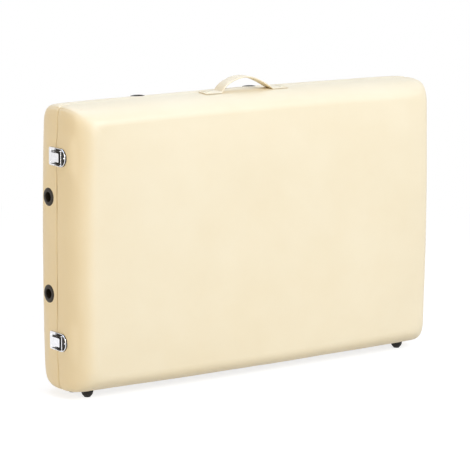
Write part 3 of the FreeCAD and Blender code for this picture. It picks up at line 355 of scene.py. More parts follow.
PAD_CROWN = 5.6 * MM  # how far the sides of the outline bulge beyond its corners, at the face
FRAME_CROWN = 3.6 * MM  # the same along the frame
CROWN_FROM = 52 * MM  # depth at which the crown starts to grow
CROWN_REACH = 28 * MM  # depth over which it grows
PAD_CORNER = 17 * MM  # corner radius of the outline
CORNER_GROWTH = 0.38  # growth of that radius for each unit of inset
INNER_CORNER = PAD_CORNER + 2 * MM
PAD_ROUND_IN = 37 * MM  # rounding of the face's edge, measured across the face
PAD_ROUND_DEEP = 75 * MM  # the same rounding, measured along the depth
PAD_HEM = 19 * MM  # width of the cover turned in over the frame at the seam
HEM_PROUD = 0.3 * MM  # the turned-in cover on the seam face of the frame
PAD_SKIN = 0.3 * MM  # gap between the inside of the pad and the frame
SWELL_CAP = 3.5 * MM  # how far the simulated air pressure may move the cover
SWELL_SMOOTH = 40  # passes that even out the swell between neighbouring points
SWELL_LAST = 8  # of those passes, the ones after the inward part is taken out
SWELL_FRAMES = 20
GRIP_FREE = 60 * MM  # depth from which the cover swells freely
GRIP_REACH = 30 * MM  # depth over which the frame's hold on it fades
COVER_CLOTH = {"quality": 6, "mass": 0.4, "tension_stiffness": 40, "compression_stiffness": 40,
               "shear_stiffness": 20, "bending_stiffness": 5, "use_pressure": True,
               "uniform_pressure_force": 3.0}
PAD_COLUMNS = 44
PAD_ROWS = 30


def graded(count):
    """Positions from -1 to 1 that crowd towards both ends."""
    return [math.sin(math.pi / 2 * (2 * index / count - 1)) for index in range(count + 1)]


def rim_positions():
    """Perimeter of the unit square as (u, v) pairs, anticlockwise, without repeats."""
    across, up = graded(PAD_COLUMNS), graded(PAD_ROWS)
    rim = [(u, -1.0) for u in across[:-1]]
    rim += [(1.0, v) for v in up[:-1]]
    rim += [(u, 1.0) for u in reversed(across[1:])]
    rim += [(-1.0, v) for v in reversed(up[1:])]
    return rim


class PadShape:
    """Levels of one half's pad, read from the nodes that it covers."""

    def __init__(self, name):
        self.name = name
        self.side = HALVES[name]
        low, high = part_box(name + "_cushion")
        rail_low, rail_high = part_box(name + "_side_rails")
        deck_low, deck_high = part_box(name + "_deck")
        self.half = ((high[0] - low[0]) / 2, (high[2] - low[2]) / 2)
        self.middle = ((high[0] + low[0]) / 2, (high[2] + low[2]) / 2)
        self.depth = max(abs(low[1]), abs(high[1]))
        self.near = min(abs(rail_low[1]), abs(rail_high[1]))
        self.deck_far = max(abs(deck_low[1]), abs(deck_high[1]))
        self.skirt = high[0] - rail_high[0]

    def crown(self, deep):
        return FRAME_CROWN + (PAD_CROWN - FRAME_CROWN) * clamp((deep - CROWN_FROM) / CROWN_REACH)

    def sag(self, x, deep):
        """How far the top or bottom side lies inside the box of the pad, at a place on it."""
        turn = clamp(1 - (self.depth - deep) / PAD_ROUND_DEEP)
        return (PAD_ROUND_IN * (1 - math.sqrt(1 - turn * turn))
                + self.crown(deep) * ((x - self.middle[0]) / self.half[0]) ** 2)

    def outline_point(self, u, v, inset, radius, deep=None):
        """Point of the crowned, rounded outline for a place on the rim of the unit square."""
        half_x, half_z = self.half[0] - inset, self.half[1] - inset
        x, z = u * half_x, v * half_z
        hub_x = max(-(half_x - radius), min(half_x - radius, x))
        hub_z = max(-(half_z - radius), min(half_z - radius, z))
        off_x, off_z = x - hub_x, z - hub_z
        if off_x and off_z:
            pull = radius / math.hypot(off_x, off_z)
            x, z = hub_x + off_x * pull, hub_z + off_z * pull
        crown = PAD_CROWN if deep is None else self.crown(deep)
        bow_x = 1 - crown / self.half[0] * (z / self.half[1]) ** 2
        bow_z = 1 - crown / self.half[1] * (x / self.half[0]) ** 2
        return x * bow_x, z * bow_z

    def frame_point(self, u, v, inset, radius):
        """The same without the crown, for the inside that follows the straight frame."""
        x, z = self.outline_point(u, v, inset, radius)
        bow_x = 1 - PAD_CROWN / self.half[0] * (z / self.half[1]) ** 2
        bow_z = 1 - PAD_CROWN / self.half[1] * (x / self.half[0]) ** 2
        return x / bow_x, z / bow_z


def outer_rows(shape):
    """(inset, depth, corner radius) rows from the hem, over the side, to the rim of the face."""
    near = shape.near - HEM_PROUD
    rows = [(PAD_HEM, near, PAD_CORNER), (7 * MM, near, PAD_CORNER),
            (3.2 * MM, near + 0.2 * MM, PAD_CORNER), (1.2 * MM, near + 1.2 * MM, PAD_CORNER),
            (0.2 * MM, near + 3 * MM, PAD_CORNER), (0.0, near + 7 * MM, PAD_CORNER)]
    start = shape.depth - PAD_ROUND_DEEP
    for step in range(10):
        turn = math.radians(10 * step)
        inset = PAD_ROUND_IN * (1 - math.cos(turn))
        rows.append((inset, start + PAD_ROUND_DEEP * math.sin(turn), PAD_CORNER + inset * CORNER_GROWTH))
    return rows


def fill_ring(points, faces, first, middle_point):
    """Fill a ring on the unit square's rim, whose first point is given, with a grid of quads."""
    across, up = graded(PAD_COLUMNS), graded(PAD_ROWS)
    lookup = {place: first + index for index, place in enumerate(rim_positions())}
    for row in range(1, PAD_ROWS):
        for column in range(1, PAD_COLUMNS):
            place = (across[column], up[row])
            lookup[place] = len(points)
            points.append(middle_point(*place))
    for row in range(PAD_ROWS):
        for column in range(PAD_COLUMNS):
            corners = [(across[column], up[row]), (across[column + 1], up[row]),
                       (across[column + 1], up[row + 1]), (across[column], up[row + 1])]
            faces.append(tuple(lookup[corner] for corner in corners))


def pad_shell(shape):
    """Closed tray: cover outside, straight walls inside that clear the frame and the deck."""
    rim = rim_positions()
    gap = shape.near - 0.05 * MM
    wall = shape.skirt - PAD_SKIN
    bed = shape.deck_far + PAD_SKIN
    outer = outer_rows(shape)
    points = []

    def place(flat, deep):
        return (shape.middle[0] + flat[0], shape.side * deep, shape.middle[1] + flat[1])

    for inset, deep in ((wall, bed), (wall, gap), (PAD_HEM, gap)):
        points += [place(shape.frame_point(u, v, inset, INNER_CORNER), deep) for u, v in rim]
    for inset, deep, radius in outer:
        points += [place(shape.outline_point(u, v, inset, radius, deep), deep) for u, v in rim]
    rows = 3 + len(outer)
    faces = rings_to_faces(len(rim), rows)

    def cap(deep, outline):
        """Places of a flat cap, drawn in from its outline."""
        def middle_point(u, v):
            scale = max(abs(u), abs(v))
            x, z = outline(u / scale, v / scale) if scale else (0.0, 0.0)
            return place((x * scale, z * scale), deep)
        return middle_point

    inset, deep, radius = outer[-1]
    fill_ring(points, faces, (rows - 1) * len(rim),
              cap(deep, lambda u, v: shape.outline_point(u, v, inset, radius)))
    fill_ring(points, faces, 0, cap(bed, lambda u, v: shape.frame_point(u, v, wall, INNER_CORNER)))
    return piece_from(points, faces, "cream_vinyl", shape.name + "_pad")


def lining(mesh, shape):
    """Which vertices belong to the inside of the tray: their normals face its hollow or the seam."""
    places, normals = vertex_rows(mesh, "co"), vertex_rows(mesh, "normal")
    off_x, off_z = places[:, 0] - shape.middle[0], places[:, 2] - shape.middle[1]
    by_x = shape.half[0] - np.abs(off_x) < shape.half[1] - np.abs(off_z)
    outward = np.where(by_x, normals[:, 0] * np.sign(off_x), normals[:, 2] * np.sign(off_z))
    behind = (normals[:, 1] * shape.side < -0.5) & (np.abs(places[:, 1]) > shape.near + 5 * MM)
    return behind | (outward < -0.2)


def inflate(thing, shape):
    """Let air pressure swell the cover off the foam, with the skirt held by the frame."""
    mesh = thing.data
    start = vertex_rows(mesh, "co")
    held = thing.vertex_groups.new(name="held")
    deep = np.abs(start[:, 1])
    grip = np.clip((GRIP_FREE - deep) / GRIP_REACH, 0.0, 1.0)
    grip[lining(mesh, shape)] = 1.0
    for index in np.nonzero(grip > 0.01)[0]:
        held.add([int(index)], float(grip[index]), "REPLACE")
    cloth = thing.modifiers.new("cover", "CLOTH")
    for name, value in COVER_CLOTH.items():
        setattr(cloth.settings, name, value)
    cloth.settings.vertex_group_mass = held.name
    cloth.settings.effector_weights.gravity = 0.0
    cloth.point_cache.frame_start = 1
    cloth.point_cache.frame_end = SWELL_FRAMES
    for frame_number in range(1, SWELL_FRAMES + 1):
        bpy.context.scene.frame_set(frame_number)
    graph = bpy.context.evaluated_depsgraph_get()
    moved = vertex_rows(thing.evaluated_get(graph).to_mesh(), "co") - start
    thing.modifiers.remove(cloth)
    thing.vertex_groups.remove(held)
    bpy.context.scene.frame_set(1)
    length = np.linalg.norm(moved, axis=1, keepdims=True)
    capped = SWELL_CAP * np.tanh(length / SWELL_CAP)
    moved *= np.divide(capped, length, out=np.zeros_like(length), where=length > 1e-9)
    ends = np.empty(len(mesh.edges) * 2, dtype=np.int64)
    mesh.edges.foreach_get("vertices", ends)
    one, other = ends.reshape(-1, 2).T
    valence = np.bincount(np.concatenate((one, other)), minlength=len(start))[:, None]
    free = (1.0 - grip)[:, None]
    for turn in range(SWELL_SMOOTH):
        total = np.zeros_like(moved)
        np.add.at(total, one, moved[other])
        np.add.at(total, other, moved[one])
        moved = total / valence * free
        if turn == SWELL_SMOOTH - SWELL_LAST:
            for axis, middle in ((0, shape.middle[0]), (2, shape.middle[1])):
                inward = moved[:, axis] * (start[:, axis] - middle) < 0
                moved[inward, axis] = 0.0
    mesh.vertices.foreach_set("co", (start + moved).ravel())
    mesh.update()


CORNER_GATHER = 0.35 * MM  # height of the gathers at the corners
FOOT_GATHER = 0.5 * MM  # height of the gathers round a foot
FOOT_RING = 12 * MM  # radius at which they are highest
FOOT_REACH = 60 * MM  # radius beyond which there are none


def gather(thing, shape):
    """Small swells of the foam, and the gathers at the corners and round the screwed-on feet."""
    mesh = thing.data
    feet_at = [(low + high) / 2 for low, high in islands(shape.name + "_case_feet")]
    lined = lining(mesh, shape)
    for vertex, normal in [(vertex, vertex.normal.copy()) for vertex in mesh.vertices]:
        place = vertex.co
        deep = abs(place.y)
        off_x = shape.half[0] - abs(place.x - shape.middle[0])
        off_z = shape.half[1] - abs(place.z - shape.middle[1])
        free = 0.0 if lined[vertex.index] else clamp((deep - shape.near) / (3 * MM))
        if not free:
            continue
        swell = 0.6 * MM * noise.noise(place * 8.0) + 0.2 * MM * noise.noise(place * 29.0)
        corner = math.exp(-((off_x + off_z) / (55 * MM)) ** 2)
        fade = math.exp(-(deep / (34 * MM)) ** 2)
        along = (off_x - off_z) / (12 * MM)
        ripple = math.sin(2 * math.pi * along) + 0.6 * math.sin(3.7 * math.pi * along + 1)
        swell += CORNER_GATHER * corner * fade * ripple
        for foot in feet_at:
            off = place - foot
            if off.length < FOOT_REACH:
                ring = math.exp(-((math.hypot(off.x, off.y) - FOOT_RING) / (13 * MM)) ** 2)
                folds = math.sin(9 * math.atan2(off.y, off.x) + 6 * off.length / MM / 20)
                swell += FOOT_GATHER * ring * folds
        vertex.co = place + normal * free * swell
    mesh.update()


SEAT_FADE = 38 * MM  # reach over which the cover rises to a plate that is screwed down on it
SEAT_DEEP = 12 * MM  # how deep under a plate the cover still follows it


def seats(shape):
    """Footprints of the hardware on the latch end of one half: (level, low, high)."""
    ends = {"front": ("latch_bases",), "rear": ("latch_catches", "headrest_bushings")}
    level = shape.middle[0] - shape.half[0]
    return [(level, low, high) for node in ends[shape.name] for low, high in islands(node)]


def seat_hardware(thing, shape):
    """Draw the cover level with the back of each plate and flange on the latch end."""
    mesh = thing.data
    places = vertex_rows(mesh, "co")
    for level, low, high in seats(shape):
        off = np.zeros(len(places))
        for other in (1, 2):
            past = np.maximum(low[other] - places[:, other], places[:, other] - high[other])
            off += np.maximum(past, 0.0) ** 2
        share = eased(1 - np.clip(np.sqrt(off) / SEAT_FADE, 0.0, 1.0))
        share *= eased(1 - np.clip(np.abs(places[:, 0] - level) / SEAT_DEEP, 0.0, 1.0))
        places[:, 0] += (level - places[:, 0]) * share
    mesh.vertices.foreach_set("co", places.ravel())
    mesh.update()


def cutter_prism(shell, centre, radius, axis, span, steps=32):
    """Add a closed round prism along an axis to a cutter mesh."""
    hub = list(centre)
    hub["XYZ".index(axis)] = 0.0
    near, far = ([shell.verts.new(point) for point in circle(hub, axis, level, radius, steps)]
                 for level in span)
    for step in range(steps):
        after = (step + 1) % steps
        shell.faces.new((near[step], near[after], far[after], far[step]))
    shell.faces.new(near[::-1])
    shell.faces.new(far)


def cutter_box(shell, middle, room):
    """Add a closed box, given by its middle and half sides, to a cutter mesh."""
    corners = [middle + Vector((room[0] * x, room[1] * y, room[2] * z))
               for x in (-1, 1) for y in (-1, 1) for z in (-1, 1)]
    bmesh.ops.convex_hull(shell, input=[shell.verts.new(corner) for corner in corners])


def carve(thing, fill):
    """Cut closed forms, made by fill, out of a piece; forms of one cut mustn't cross each other."""
    shell = bmesh.new()
    fill(shell)
    bmesh.ops.recalc_face_normals(shell, faces=shell.faces)
    mesh = bpy.data.meshes.new("cutter")
    shell.to_mesh(mesh)
    shell.free()
    cutter = linked("cutter", mesh)
    modifier = thing.modifiers.new("holes", "BOOLEAN")
    modifier.operation = "DIFFERENCE"
    modifier.solver = "EXACT"
    modifier.object = cutter
    bpy.context.view_layer.update()
    apply_modifiers(thing)
    thing.data.set_sharp_from_angle(angle=math.radians(40))
    bpy.data.objects.remove(cutter)
    bpy.data.meshes.remove(mesh)


def islands(node):
    """Boxes of the separate solids of a node, as (low, high) corners."""
    mesh = frame["nodes"][node].data
    shell = bmesh.new()
    shell.from_mesh(mesh)
    bmesh.ops.remove_doubles(shell, verts=shell.verts, dist=0.01 * MM)
    left = set(shell.verts)
    boxes = []
    while left:
        group, queue = [], [left.pop()]
        while queue:
            vertex = queue.pop()
            group.append(vertex.co.copy())
            for edge in vertex.link_edges:
                other = edge.other_vert(vertex)
                if other in left:
                    left.remove(other)
                    queue.append(other)
        boxes.append((Vector([min(point[axis] for point in group) for axis in range(3)]),
                      Vector([max(point[axis] for point in group) for axis in range(3)])))
    shell.free()
    return boxes


SOCKET_TUBE = 12.5 * MM  # outside radius of the tube of a bushing
HINGE_ROOM = 0.6 * MM  # gap between a pad and the hinge leaves


def pad_holes(shape):
    """Cutters for the socket tubes and the hinge room of one pad."""
    def fill(shell):
        reach = 60 * MM
        for low, high in islands(shape.name + "_hinge_leaves"):
            cutter_box(shell, (high + low) / 2, (high - low) / 2 + Vector((HINGE_ROOM,) * 3))
        if shape.name == "rear":
            for low, high in islands("headrest_bushings"):
                cutter_prism(shell, (low + high) / 2, SOCKET_TUBE, "X", (low.x - reach, high.x + reach / 4))
            for low, high in islands("armrest_bushings"):
                cutter_prism(shell, (low + high) / 2, SOCKET_TUBE, "Z", (low.z - 5 * MM, high.z + 5 * MM))
    return fill


def pad(name):
    """One half's cushion and cover: a closed, swollen form that wraps over the frame."""
    shape = PadShape(name)
    thing = pad_shell(shape)
    subdivide(thing, 1)
    inflate(thing, shape)
    subdivide(thing, 1)
    gather(thing, shape)
    seat_hardware(thing, shape)
    carve(thing, pad_holes(shape))
    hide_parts(name + "_cushion", name + "_cover_band")
    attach(thing, name + "_half")


# ---- the handle ----

STRAP_STEPS = 96
STRAP_SECTION = 28
STRAP_LIFT = 0.3 * MM  # clearance between the strap and the swells of the cover
STRAP_TOP = 4.2 * MM  # thickness of the strap at the top of its arch
STRAP_CREASE = 0.45 * MM
PATCH_UP = 2.3 * MM  # underside of the patches above the cover
PATCH_EDGE = ((0.0, 0.0), (0.0, 0.5), (0.3, 0.85), (1.0, 1.0), (2.0, 0.9))  # (inset, height) in millimetres
STITCH_PITCH = 3.2 * MM
# The arch as shares of its length and height: it rises steeply at the latch end and leans back.
ARCH = ((0.0, 0.0), (0.03, 0.20), (0.11, 0.52), (0.235, 0.80), (0.36, 0.965), (0.46, 1.0), (0.57, 0.93),
        (0.68, 0.77), (0.81, 0.49), (0.935, 0.17), (1.0, 0.0))


def arch_height(share):
    """Smooth curve through the ARCH rows."""
    if not 0 < share < 1:
        return 0.0
    row = max(index for index, (place, height) in enumerate(ARCH[:-1]) if place <= share)
    (x0, y0), (x1, y1) = ARCH[row], ARCH[row + 1]
    before, after = ARCH[max(0, row - 1)], ARCH[min(len(ARCH) - 1, row + 2)]
    slope0 = (y1 - before[1]) / (x1 - before[0])
    slope1 = (after[1] - y0) / (after[0] - x0)
    t, wide = (share - x0) / (x1 - x0), x1 - x0
    return ((1 + 2 * t) * (1 - t) ** 2 * y0 + t * (1 - t) ** 2 * wide * slope0
            + t * t * (3 - 2 * t) * y1 + t * t * (t - 1) * wide * slope1)


class Strap:
    """Places on the carrying strap: two flat tails on the pad and a leaning arch."""

    def __init__(self):
        self.low, self.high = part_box("handle_strap")
        self.plates = islands("handle_plates")
        self.pad = PadShape("front")
        middle = (self.low[0] + self.high[0]) / 2
        plate = min(self.plates, key=lambda pair: pair[0].x)
        tail = ((plate[0].x + plate[1].x) / 2 - self.low[0]) / 0.3
        self.arch = (self.low[0] + tail, 2 * middle - self.low[0] - tail)
        self.rise = self.high[2] - self.low[2] - STRAP_TOP

    def level(self, x, y, height=0.0):
        """The cover under a place of the strap; the arch runs level from edge to edge."""
        follow = math.exp(-height / (9 * MM))
        middle = (self.low[1] + self.high[1]) / 2
        sag = self.pad.sag(x, abs(y)) * follow + self.pad.sag(x, abs(middle)) * (1 - follow)
        return self.low[2] - sag + STRAP_LIFT + height

    def height(self, x):
        return self.rise * arch_height((x - self.arch[0]) / (self.arch[1] - self.arch[0]))


def strap_band(strap):
    """Padded band with soft edges, thin in the tails and creased where it leaves the pad."""
    width = strap.high[1] - strap.low[1]
    centre_y = (strap.high[1] + strap.low[1]) / 2
    length = strap.high[0] - strap.low[0]
    line = []
    for step in range(STRAP_STEPS + 1):
        x = strap.low[0] + length * step / STRAP_STEPS
        line.append((x, strap.height(x)))
    points = []
    for step, (x, height) in enumerate(line):
        before, after = line[max(0, step - 1)], line[min(STRAP_STEPS, step + 1)]
        slope = Vector((after[0] - before[0], 0, after[1] - before[1])).normalized()
        up = Vector((-slope.z, 0, slope.x))
        share = min(1.0, height / (10 * MM))
        thick = (1.2 + 0.9 * share) * MM
        end = min(step, STRAP_STEPS - step)
        narrow = (1.6, 0.5, 0.1)[end] * MM if end < 3 else 0.0
        foot = math.exp(-((height - 5 * MM) / (5 * MM)) ** 2)
        for index in range(STRAP_SECTION):
            turn = 2 * math.pi * index / STRAP_SECTION
            across = abs(math.cos(turn)) ** 0.4 * math.copysign(1, math.cos(turn)) * (width / 2 - narrow)
            lift = abs(math.sin(turn)) ** 0.7 * math.copysign(1, math.sin(turn)) * thick
            crease = STRAP_CREASE * foot * math.sin(x * 1250 + 1.2 * math.sin(across * 260))
            crease += 0.5 * MM * noise.noise(Vector((x, across, 3.0)) * 60) * (0.4 + foot)
            y = centre_y + across
            place = Vector((x, y, strap.level(x, y, height) + thick))
            points.append(place + up * (lift + crease * (lift > 0)))
    faces = rings_to_faces(STRAP_SECTION, STRAP_STEPS + 1, True)
    thing = piece_from(points, faces, "strap_vinyl", "strap_cover")
    subdivide(thing, 1)
    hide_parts("handle_strap")
    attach(thing, "front_half")


def stitch(start, end):
    """One thread stitch: a small bead that dips into the vinyl at both ends."""
    along = (end - start).normalized()
    side = along.cross(Vector((0, 0, 1))).normalized()
    points = []
    for share, radius in ((0.0, 0.15), (0.2, 0.42), (0.5, 0.5), (0.8, 0.42), (1.0, 0.15)):
        centre = start.lerp(end, share) + Vector((0, 0, (0.25 - (share - 0.5) ** 2) * 1.2 * MM))
        for index in range(8):
            turn = math.pi * index / 4
            points.append(centre + (side * math.cos(turn) + Vector((0, 0, 1)) * math.sin(turn)) * radius * MM)
    return piece_from(points, rings_to_faces(8, 5, True), "thread")


def tail_patches(strap):
    """Stitched vinyl patches over the steel strips that hold the tails."""
    patches, stitches = [], []
    for low, high in strap.plates:
        middle = (low + high) / 2
        half = Vector(((high.x - low.x) / 2, (high.y - low.y) / 2))

        def to_world(u, v, out):
            x, y = middle.x + u, middle.y + v
            return (x, y, strap.level(x, y) + PATCH_UP + out)

        outline = rounded_outline(-half, half, (2 * MM,) * 4, 4)
        rows = [(inset * MM, up * MM) for inset, up in PATCH_EDGE]
        patches.append(pressing(outline, rows, to_world, "strap_vinyl"))
        inset = half - Vector((1.6 * MM, 1.6 * MM))
        corners = [(-inset.x, -inset.y), (inset.x, -inset.y), (inset.x, inset.y), (-inset.x, inset.y)]
        for index, corner in enumerate(corners):
            start, end = Vector(corner), Vector(corners[(index + 1) % 4])
            count = max(2, round((end - start).length / STITCH_PITCH))
            for step in range(count):
                ends = [start.lerp(end, (step + share) / count) for share in (0.12, 0.88)]
                stitches.append(stitch(*(Vector(to_world(u, v, 0.9 * MM)) for u, v in ends)))
    finish_piece("strap_tail_patches", patches, "strap_vinyl", "front_half", "handle_plates")
    finish_piece("strap_tail_stitches", stitches, "strap_vinyl", "front_half", looks=("thread",))


# ---- hardware ----

def darken(thing, chosen):
    """Give the second look of a piece, a painted shade, to the faces that chosen picks."""
    for polygon in thing.data.polygons:
        polygon.material_index = int(chosen(polygon))


def finish_piece(name, parts, slot, body, *nodes, looks=()):
    """Join meshes, whose faces keep their own look, into one piece; sharp edges stay sharp."""
    shell = bmesh.new()
    for part in parts:
        old = part.data
        shell.from_mesh(old)
        bpy.data.objects.remove(part)
        bpy.data.meshes.remove(old)
    mesh = bpy.data.meshes.new(name)
    shell.to_mesh(mesh)
    shell.free()
    thing = linked(name, mesh)
    for look in looks or (slot,):
        mesh.materials.append(LOOKS[look])
    for polygon in mesh.polygons:
        polygon.use_smooth = True
    mesh.set_sharp_from_angle(angle=math.radians(38))
    if nodes:
        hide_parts(*nodes)
    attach(thing, body)


def arc(centre, radius, start, stop, steps):
    """Points of an arc between two angles in degrees."""
    turns = [math.radians(start + (stop - start) * step / steps) for step in range(steps + 1)]
    return [(centre[0] + radius * math.cos(turn), centre[1] + radius * math.sin(turn)) for turn in turns]


def rounded_outline(low, high, radii, steps=6):
    """Rounded rectangle, anticlockwise from its lower left corner, with a radius for each corner."""
    corners = ((low[0], low[1], 180), (high[0], low[1], 270), (high[0], high[1], 0), (low[0], high[1], 90))
    outline = []
    for (x, y, turn), radius in zip(corners, radii):
        x += radius if turn in (180, 90) else -radius
        y += radius if turn in (180, 270) else -radius
        outline += arc((x, y), radius, turn, turn + 90, steps)
    return outline


def inward(outline):
    """Unit normals that point into a closed anticlockwise outline."""
    normals = []
    count = len(outline)
    for index in range(count):
        before, after = Vector(outline[index - 1]), Vector(outline[(index + 1) % count])
        along = (after - before).normalized()
        normals.append(Vector((-along.y, along.x)))
    return normals


def pressing(outline, profile, to_world, look, rise=None):
    """Sheet form: (inset, height) rows of a profile, followed in from an outline, then filled."""
    normals = inward(outline)
    points = []
    for inset, height in profile:
        for (u, v), normal in zip(outline, normals):
            at = Vector((u, v)) + normal * inset
            points.append(to_world(at.x, at.y, height * (rise(at.x, at.y) if rise else 1.0)))
    return piece_from(points, rings_to_faces(len(outline), len(profile), True), look)


RIVET_UP = 0.9 * MM


def rivet(centre, radius):
    """Rivet head: a low dome on a short edge, standing out of the end of the case."""
    profile = [(0.6 * MM, radius * 0.98)]
    for turn in (0, 25, 50, 72, 86):
        angle = math.radians(turn)
        profile.append((-RIVET_UP * math.sin(angle), radius * math.cos(angle)))
    return lathe(profile, centre, "X", "chrome", 20)


LATCH_CORNER = 4 * MM
BASE_RIM = 2 * MM  # width of the bead round a base
PLATE_UP = 1.5 * MM  # plates above the end of the case
RIM_UP = 3.2 * MM  # top of the bead
SHEET = 1.2 * MM  # thickness of ears and lever
PIN_OUT = 5.2 * MM  # lever pin, out from the end of the case
EAR = 3 * MM  # radius of the ears round it
LIP = (10.8 * MM, 12 * MM)  # near and far face of the catch's lip, from the seam
LIP_HALF = 10 * MM  # half the length of that lip
DARK_EDGE = 1.2 * MM  # height of a row on the edge of a plate, whose faces are painted dark as shade


class Latch:
    """Places of one draw latch, in the plane of the end of the case."""

    def __init__(self, way):
        self.way = way
        index = 0 if way == "low" else 1
        boxes = {}
        for node in ("latch_bases", "latch_catches"):
            boxes[node] = sorted(islands(node), key=lambda pair: pair[0].z)[index]
        self.base, self.catch = boxes["latch_bases"], boxes["latch_catches"]
        self.lever = [Vector(corner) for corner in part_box("latch_lever_" + way)]
        self.face = self.base[1].x
        self.middle = (self.base[0].z + self.base[1].z) / 2
        self.tall = self.base[1].z - self.base[0].z
        self.out = self.face - self.lever[0].x

    def world(self, u, v, out):
        """Along Y, above the middle, and out from the end of the case."""
        return (self.face - out, u, self.middle + v)

    def solid(self, levels, outline):
        """Closed form with an outline of (along Y, out) places at several levels above the middle."""
        points = [self.world(u, level, out) for level in levels for u, out in outline]
        return piece_from(points, rings_to_faces(len(outline), len(levels), True), "chrome")


def latch_base(latch):
    """Dished D-shaped plate with a bead round it, two ears, the lever pin and a rivet."""
    radius = latch.tall / 2
    near, far = latch.base[1].y, latch.base[0].y
    hub = far + radius
    outline = arc((hub, 0.0), radius, 90, 270, 30)
    outline += [(near - 1 * MM, -radius), (near - 0.2 * MM, -radius + 0.4 * MM), (near, -radius + 1.2 * MM),
                (near, radius - 1.2 * MM), (near - 0.2 * MM, radius - 0.4 * MM), (near - 1 * MM, radius)]

    def rise(u, v):
        low = PLATE_UP / RIM_UP
        return low + (1 - low) * eased(clamp((near - u) / (2.4 * MM)))

    rows = [(0.0, -1.5 * MM), (0.0, DARK_EDGE), (0.0, 2.3 * MM), (0.15 * MM, 2.8 * MM), (0.5 * MM, 3.1 * MM),
            (1.0 * MM, RIM_UP), (1.5 * MM, 3.05 * MM), (1.85 * MM, 2.6 * MM), (BASE_RIM, 1.9 * MM),
            (2.4 * MM, PLATE_UP)]
    plate = pressing(outline, rows, latch.world, "chrome", rise)
    # the low faces, the plate's edge and its dish, get painted shade and painted dark reflection
    darken(plate, lambda polygon: latch.face - polygon.center.x < PLATE_UP + 0.3 * MM)
    parts = [plate]
    pin = Vector((latch.face - PIN_OUT, latch.lever[0].y + 1 * MM, latch.middle))
    half = (latch.lever[1].z - latch.lever[0].z) / 2 + 0.3 * MM
    shrunk = 1 - 0.2 / 3
    levels = ((half, shrunk), (half + 0.2 * MM, 1.0), (half + 1.0 * MM, 1.0), (half + SHEET, shrunk))
    shape = [(EAR, 0.8 * MM), *arc((0.0, PIN_OUT), EAR, 0, 180, 9), (-EAR, 0.8 * MM)]
    for sign in (-1, 1):
        points = [latch.world(pin.y + u * shrink, sign * level, PIN_OUT + (out - PIN_OUT) * shrink)
                  for level, shrink in levels for u, out in shape]
        parts.append(piece_from(points, rings_to_faces(len(shape), 4, True), "chrome"))
    parts.append(lathe([(-half - 1.6 * MM, 0.6 * MM), (-half - 1.4 * MM, 1 * MM), (half + 1.4 * MM, 1 * MM),
                        (half + 1.6 * MM, 0.6 * MM)], pin, "Z", "chrome", 16))
    parts.append(rivet(Vector((latch.face - PLATE_UP, far + 6.4 * MM, latch.middle)), 2.1 * MM))
    return parts


def latch_catch(latch):
    """Rounded plate with a bent lip and two rivets."""
    low, high = latch.catch
    radius = latch.tall / 2
    outline = rounded_outline((low.y, -radius), (high.y, radius),
                              (0.8 * MM, LATCH_CORNER, LATCH_CORNER, 0.8 * MM))
    rows = [(0.0, -1.5 * MM), (0.0, 0.7 * MM), (0.0, 1.0 * MM), (0.2 * MM, 1.35 * MM), (0.6 * MM, PLATE_UP),
            (1.6 * MM, PLATE_UP)]
    parts = [pressing(outline, rows, latch.world, "chrome")]
    # the edge of the catch plate is painted dark as a shade line
    darken(parts[0], lambda polygon: latch.face - polygon.center.x < 0.75 * MM)
    lip_out = latch.face - low.x
    near, far = LIP
    lip = [(near, 1.0 * MM), (near, lip_out - 0.5 * MM), (near + 0.2 * MM, lip_out - 0.1 * MM),
           (near + 0.6 * MM, lip_out), (far - 0.2 * MM, lip_out - 0.2 * MM), (far, lip_out - 0.6 * MM),
           (far, 1.0 * MM)]
    parts.append(latch.solid((-LIP_HALF, LIP_HALF), lip))
    for sign in (-1, 1):
        place = Vector((latch.face - PLATE_UP, high.y - 5 * MM, latch.middle + sign * radius * 0.62))
        parts.append(rivet(place, 2.2 * MM))
    return parts


def latch_lever(latch):
    """Pressed cover with a line round it, a finger notch, two slots and two cheeks."""
    low, high = latch.lever
    half = (high.z - low.z) / 2
    outline = rounded_outline((low.y, -half), (high.y, half), (1.4 * MM,) * 4)
    top = latch.out
    rows = [(0.5 * MM, top - SHEET), (0.0, top - SHEET + 0.3 * MM), (0.0, top - 0.45 * MM),
            (0.15 * MM, top - 0.15 * MM), (0.5 * MM, top), (2.0 * MM, top), (2.35 * MM, top - 0.35 * MM),
            (2.8 * MM, top - 0.35 * MM), (3.15 * MM, top), (4.0 * MM, top)]
    plate = pressing(outline, rows, latch.world, "chrome")
    long = high.y - low.y

    def openings(shell):
        through = (latch.face - top - 3 * MM, latch.face - 4 * MM)
        notch = latch.world(low.y + long * 0.5, -half, 0.0)
        cutter_prism(shell, notch, 3.4 * MM, "X", through, 24)
        for share in (0.34, 0.66):
            for side in (-1, 1):
                slot = latch.world(low.y + long * share + side * 2.4 * MM, half - 4.6 * MM, 0.0)
                cutter_prism(shell, slot, 0.9 * MM, "X", through, 16)

    carve(plate, openings)
    parts = [plate]
    for sign in (-1, 1):
        shape = rounded_outline((low.y + 0.1 * MM, 3.3 * MM), (high.y - 1.2 * MM, top - 0.6 * MM),
                                (0.8 * MM, 3.0 * MM, 0.3 * MM, 0.3 * MM), 4)
        cheek = latch.solid((sign * (half - 0.1 * MM), sign * (half - SHEET)), shape)
        # the cheeks are painted dark as shade in the gap beside the lever
        darken(cheek, lambda polygon: True)
        parts.append(cheek)
    return parts


